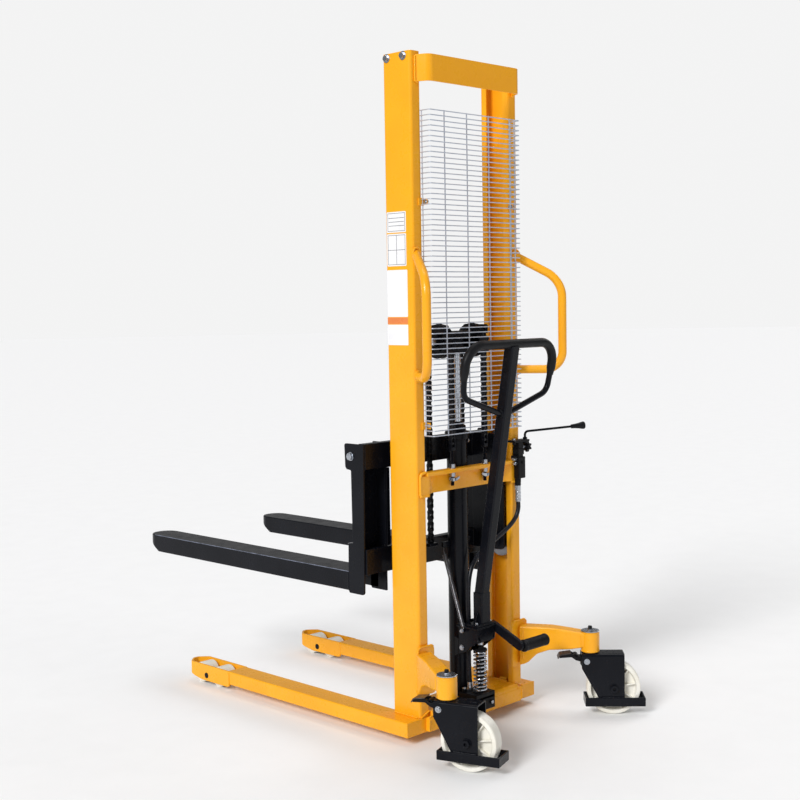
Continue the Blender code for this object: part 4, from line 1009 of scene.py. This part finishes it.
def pump():
    block = [
        box((-46, 46), (-56, 22), (92 + GAP, 114), 2.5), box((-46, 46), (-56, -18 - GAP), (58, 104), 2.5),
        lathe([(9.4, 113), (27, 113), (27, 115.5), (25, 117), (9.4, 117)], (0, PUMP_Y, 0), "Z", 48),
        rod("X", (-38, 80), 9, 45, 50, 1), rod("Y", (26, 80), 7, -61, -54, 1),
        rod("Y", (-26, 80), 7, -61, -54, 1),
        rod("Z", (-34, 8), 7, 112, 124, 1), rod("Z", (34, 6), 8, 112, 120, 1.2),
    ]
    bore = rod("Z", (0, PUMP_Y), 9.3, 64, 130, 0)
    piece("pump_body", "chassis", "casting", [less(block[0], bore), block[1]] + block[2:], ["pump_block"])
    plugs = [hexagon("X", (-38, 80), 6, 50, 54), hexagon("Z", (-34, 8), 6.5, 124, 129)]
    plugs += [less(rod("Y", (x, 80), 5.4, -63, -60, 0.5),
                   rod("Y", (x, 80), 2.6, -70, -62, 0, 6)) for x in (26, -26)]
    piece("pump_plugs", "chassis", "zinc", plugs)
    spring = coil((0, PUMP_Y), 20, 3.0, 119.8, 250, 11)
    piece("pump_coil", "chassis", "chrome", [spring], ["pump_spring"],
          flex=("plunger_body", (0, 0, 119), (0, 0, 250)))
    ram = [
        rod("Z", (0, PUMP_Y), 8.6, 97, 258, 0.8, 40), rod("Z", (0, PUMP_Y), 14, 152, 256, 0.8, 40),
        lathe([(0.01, 251), (22, 251), (23.5, 252.4), (23.5, 256), (21, 258.5), (10, 259), (0.01, 259)],
              (0, PUMP_Y, 0), "Z", 48),
        lathe([(0.01, 257), (13, 257), (13, 262), (10, 267), (0.01, 267)], (0, PUMP_Y, 0), "Z", 40),
    ]
    piece("plunger_rod", "plunger_body", "casting", ram, ["plunger"])
    ball = [(max(10.8 * sin(k * pi / 16), 0.01), -10.8 * cos(k * pi / 16)) for k in range(17)]
    wheel = lathe(ball, (0, PUMP_Y, 275), "X", 40)
    pin = rod("X", (PUMP_Y, 275), 4, -14, 14, 0.8, 24)
    piece("plunger_wheel", "plunger_body", "zinc", [wheel, pin])


def lean(x, z):
    """A point on the plane of the leaning stem."""
    return (x, STEM_FOOT[0] - STEM_LEAN * (z - STEM_FOOT[1]), z)


def tiller():
    foot, head = Vector(lean(0, 436)), Vector(lean(0, 1247))
    length, a = (head - foot).length, STEM_HALF
    square = arcs([(-a, -a), (a, -a), (a, a), (-a, a)], 5, 5)
    stem = prism(square, "Z", 0, length, 0.6)
    upright = Matrix.Translation(foot * MM) @ Matrix.Rotation(radians(9.815), 4, "X")
    shapes = [turned(stem, upright)]
    for k in (-1, 1):
        path = [lean(k * x, z) for x, z in ((6, 1028), (203, 1092), (210.6, 1172))]
        shapes.append(tube(filleted(path, (42,), 5), 9.5, 24))
        ring = Vector(lean(k * 19, 1032))
        loop = [(ring.x, ring.y + 10.5 * cos(t * pi / 8), ring.z + 12 * sin(t * pi / 8)) for t in range(17)]
        shapes.append(weld(loop, 3.2, 90))
    piece("stem_tube", "tiller", "black", shapes, ["tiller_stem"])
    path = filleted([lean(-209.4, 1146), lean(-215, 1252), lean(215, 1252), lean(209.4, 1146)], (68, 68), 5)
    total = sum((b - a).length for a, b in zip(path, path[1:]))
    dense = []
    for p, q in zip(path, path[1:]):
        count = max(1, round((q - p).length / 5))
        dense += [p.lerp(q, k / count) for k in range(count)]
    dense.append(path[-1])
    grown, reach = [], 0
    for i, p in enumerate(dense):
        reach += (p - dense[i - 1]).length if i else 0
        swell = min(max(min(reach, total - reach) / 26, 0), 1)
        grown.append(10.6 + 4.0 * swell * swell * (3 - 2 * swell))
    piece("grip_sleeve", "tiller", "rubber", [tube(dense, 14.6, 32, grown)], ["tiller_grip"])
    strip = Vector(lean(0, 1254))
    clip = box((-34, 34), (strip.y - 15.2, strip.y - 13.2), (strip.z - 1.6, strip.z + 1.6), 0.6)
    piece("grip_strip", "tiller", "casting", [clip])

    side_plate = arcs([(-62, 340), (20, 340), (20, 300), (17, 252), (-4, 247), (-60, 290)],
                      [2, 2, 20, 12, 12, 14], 6)
    socket_outline = arcs([(-22, -62.5), (22, -62.5), (22, -23.5), (-22, -23.5)], 5)
    hose_space = box((-30, 14), (-13, 40), (330, 350), 0)
    parts = [less(box((-46, 46), (-63, 20), (337, 345), 1.6), hose_space)]
    for k in (-1, 1):
        hole = rod("X", PIVOT, 7.2, *span(k, 30, 50), 0)
        parts.append(less(prism(side_plate, "X", *span(k, 38, 44), 1), hole))
        rib = arcs([(k * 21, 344), (k * 40, 344), (k * 24, 384), (k * 21, 388)], [0, 3, 3, 0])
        parts.append(prism(rib, "Y", -47, -41, 0.8))
        parts.append(weld([(k * 22.5, -60, 346), (k * 22.5, -26, 346)], 3, 92))
    parts.append(box((-39, 39), (-58, -14), (287.5, 296), 1))
    parts.append(prism(arcs([(-39, 340), (-39, 318), (-26, 287), (26, 287), (39, 318), (39, 340)],
                            [0, 10, 6, 6, 10, 0]), "Y", -62, -56, 1))
    parts.append(box((-52, 51), (-66, 22), (331, 337.4), 1.4))
    parts.append(less(prism(socket_outline, "Z", 344, 446, 1.4),
                      turned(box((-18.4, 18.4), (-18.4, 18.4), (10, 200), 0), upright)))
    parts.append(weld([(-20, -64, 346), (20, -64, 346)], 3, 93))
    parts.append(rod("X", (-6, 322), 5, -58, -43, 0.6))
    arm = arcs([(-30, 320), (-44, 346), (-62, 340), (-172, 291), (-178, 276), (-166, 262), (-152, 266),
                (-48, 314)],
               [2, 4, 8, 10, 10, 10, 8, 8], 5)
    parts.append(prism(arm, "X", 43, 56, 2))
    parts.append(rod("X", (-166, 277), 9, 50, 178, 1))
    piece("rocker_frame", "tiller", "black", parts, ["tiller_rocker"])
    bolts = bolt("X", (-6, 322), 6, -56, 4, -1, 1.2) + bolt("X", (-46, 325), 6, 44, 4, 1)
    bolts += [rod("X", (-166, 277), 13, 178, 180.4, 0.6), *bolt("Z", (-33, -48), 5, 345, 4),
              *bolt("Z", (33, -48), 5, 345, 4)]
    piece("rocker_bolts", "tiller", "zinc", bolts)
    outline = [(9.2, 57), (17, 57), (19, 58.5), (20, 61), (20, 65), (19, 67)]
    x = 68
    while x < 163:
        outline += [(19, x), (18.2, x + 1), (18.2, x + 2.2), (19, x + 3.2)]
        x += 5.4
    outline += [(19, 165), (20, 167), (20, 171), (18.5, 173), (9.2, 173)]
    piece("pedal_rubber", "tiller", "rubber", [lathe(outline, (0, -166, 277), "X", 56)], ["foot_pedal"])


def return_spring():
    """A close-wound tension spring from the rocker up to a wire hook on the cylinder."""
    low, high = Vector((-51, -6, 334)), Vector((-64, 60, 566))
    line, turns = high - low, 80
    along = line.normalized()
    side = along.orthogonal().normalized()
    other = along.cross(side)
    per_turn = 10
    points = []
    for i in range(turns * per_turn + 1):
        t = 2 * pi * i / per_turn
        points.append(low + line * (i / (turns * per_turn)) + (side * cos(t) + other * sin(t)) * 6)
    shapes = [tube(points, 1.45, 6)]
    shapes.append(tube(filleted([low + along * 4, low - along * 3, low - along * 6 + Vector((-3, 0, -4))],
                                (3,)), 1.6, 10))
    hook = [high - along * 6, high + along * 6, Vector((-63.5, 64, 582)), Vector((-60, 67, 592)),
            Vector((-55, 67, 593))]
    shapes.append(tube(smooth_line([tuple(p) for p in hook], 3), 1.6, 10))
    piece("return_coil", "chassis", "steel", shapes, ["return_spring"],
          flex=("tiller", (-64, 60, 566), (-51, -6, 336)))


def release_valve():
    x, y = VALVE_X, VALVE_Y
    body = [
        box((x - 18, x + 7), (y - 11, y + 14), (862, 915), 2.5),
        box((x - 21, x + 14), (y - 14.5, y + 8.5), (792, 865), 3),
        box((184, 262), (-36, -GAP), (915, 922), 1.6), box((x - 21, x + 9), (y - 13, y + 13), (872, 894), 2),
        rod("Z", (x - 10, y), 10.5, 780, 794, 1), hexagon("Z", (x - 10, y), 11, 768, 782),
        rod("Y", (x - 2, 846), 5, y - 18, y - 12, 1),
        rod("X", (y, 864), 8, 196, 220, 1), rod("X", (y, HANDWHEEL_Z), 7, 236, 246, 1),
        rod("X", (y, HANDWHEEL_Z), 4.6, 244, 268),
        rod("Z", SPINDLE, 8, 910, 916, 1), rod("Z", (198, -20), 6, 908, 916, 1),
        rod("X", (y, 905), 5, 214, 224, 1),
    ]
    piece("valve_body", "chassis", "casting", body, ["release_valve"])
    parts = [hexagon("Z", (x - 10, y), 10.4, 752, 767.7)]
    for z in (716, 727, 738):
        parts.append(rod("Z", (x - 10, y), 9.6, z, z + 9, 1.6, 32))
    parts.append(rod("Z", (x - 10, y), 8.8, 713, 753, 1.0, 32))
    for z in (858, 843):
        parts += [hexagon("X", (y - 2, z), 7.5, 203, 211), rod("X", (y - 2, z), 5.5, 194, 204, 1)]
    parts += bolt("Z", (198, -20), 5.5, 922, 4) + [rod("X", (y, HANDWHEEL_Z), 5.6, 247, 259.5, 0.6)]
    piece("valve_fittings", "chassis", "zinc", parts)
    spindle = Vector((*SPINDLE, 948))
    reach = Vector((0.9, -0.436, 0.05)).normalized()
    line = filleted([Vector((*SPINDLE, 922.4)), spindle, spindle + reach * 172], (12,))
    collar = rod("Z", SPINDLE, 7.5, 922.4, 929, 1.2)
    piece("lever_rod", "release", "black", [tube(line, 4, 20), collar], ["release_lever"])
    outline = [(0.01, 0), (6, 0), (7, 1.5), (7.6, 12), (9.4, 28), (12, 40), (13, 46), (12, 49.4), (9, 50),
               (0.01, 50)]
    knob = lathe(outline, (0, 0, 0), "X", 40)
    turn = reach.to_track_quat("X", "Z").to_matrix().to_4x4()
    piece("lever_knob_rubber", "release", "rubber",
          [turned(knob, Matrix.Translation((spindle + reach * 172.5235) * MM) @ turn)], ["lever_knob"])
    star = []
    for i in range(96):
        t = i * pi / 48
        r = 16.6 + 2.9 * cos(7 * t)
        star.append((y + r * cos(t), HANDWHEEL_Z + r * sin(t)))
    wheel = [prism(star, "X", 262, 276, 2, 3, 50), rod("X", (y, HANDWHEEL_Z), 9, 260.4, 264, 1)]
    piece("star_knob", "handwheel", "rubber", wheel, ["flow_handwheel"])


def pump_hose():
    route = [
        (222.5, -15.5, 711.6), (222.5, -15.5, 690), (213, -14, 664), (188, -12, 640), (157, -7, 619),
        (122, -4, 601),
        (84, -3, 584), (46, -3, 566), (14, -4, 544), (-8, -5, 516), (-20, -6, 480), (-24, -6, 440),
        (-23, -5, 400),
        (-18, -1, 360), (-12, 4, 320), (-9, 8, 280), (-8, 9, 240), (-8, 9, 190), (-8, 6, 140), (-8, 6, 114.4),
    ]
    piece("hose_tube", "chassis", "hose", [tube(smooth_line(route, 6), 7.5, 24)], ["pump_hose"])
    collar = [rod("Z", (-8, 6), 9.2, 116, 142, 1.4, 32), hexagon("Z", (-8, 6), 10.5, 114.4, 124)]
    piece("hose_end", "chassis", "zinc", collar)


studio()
camera()
masts()
labels()
cross_members()
legs()
outriggers()
casters()
guard()
push_handles()
lift()
chains()
carriage()
forks()
pump()
tiller()
return_spring()
release_valve()
pump_hose()

bpy.context.view_layer.update()
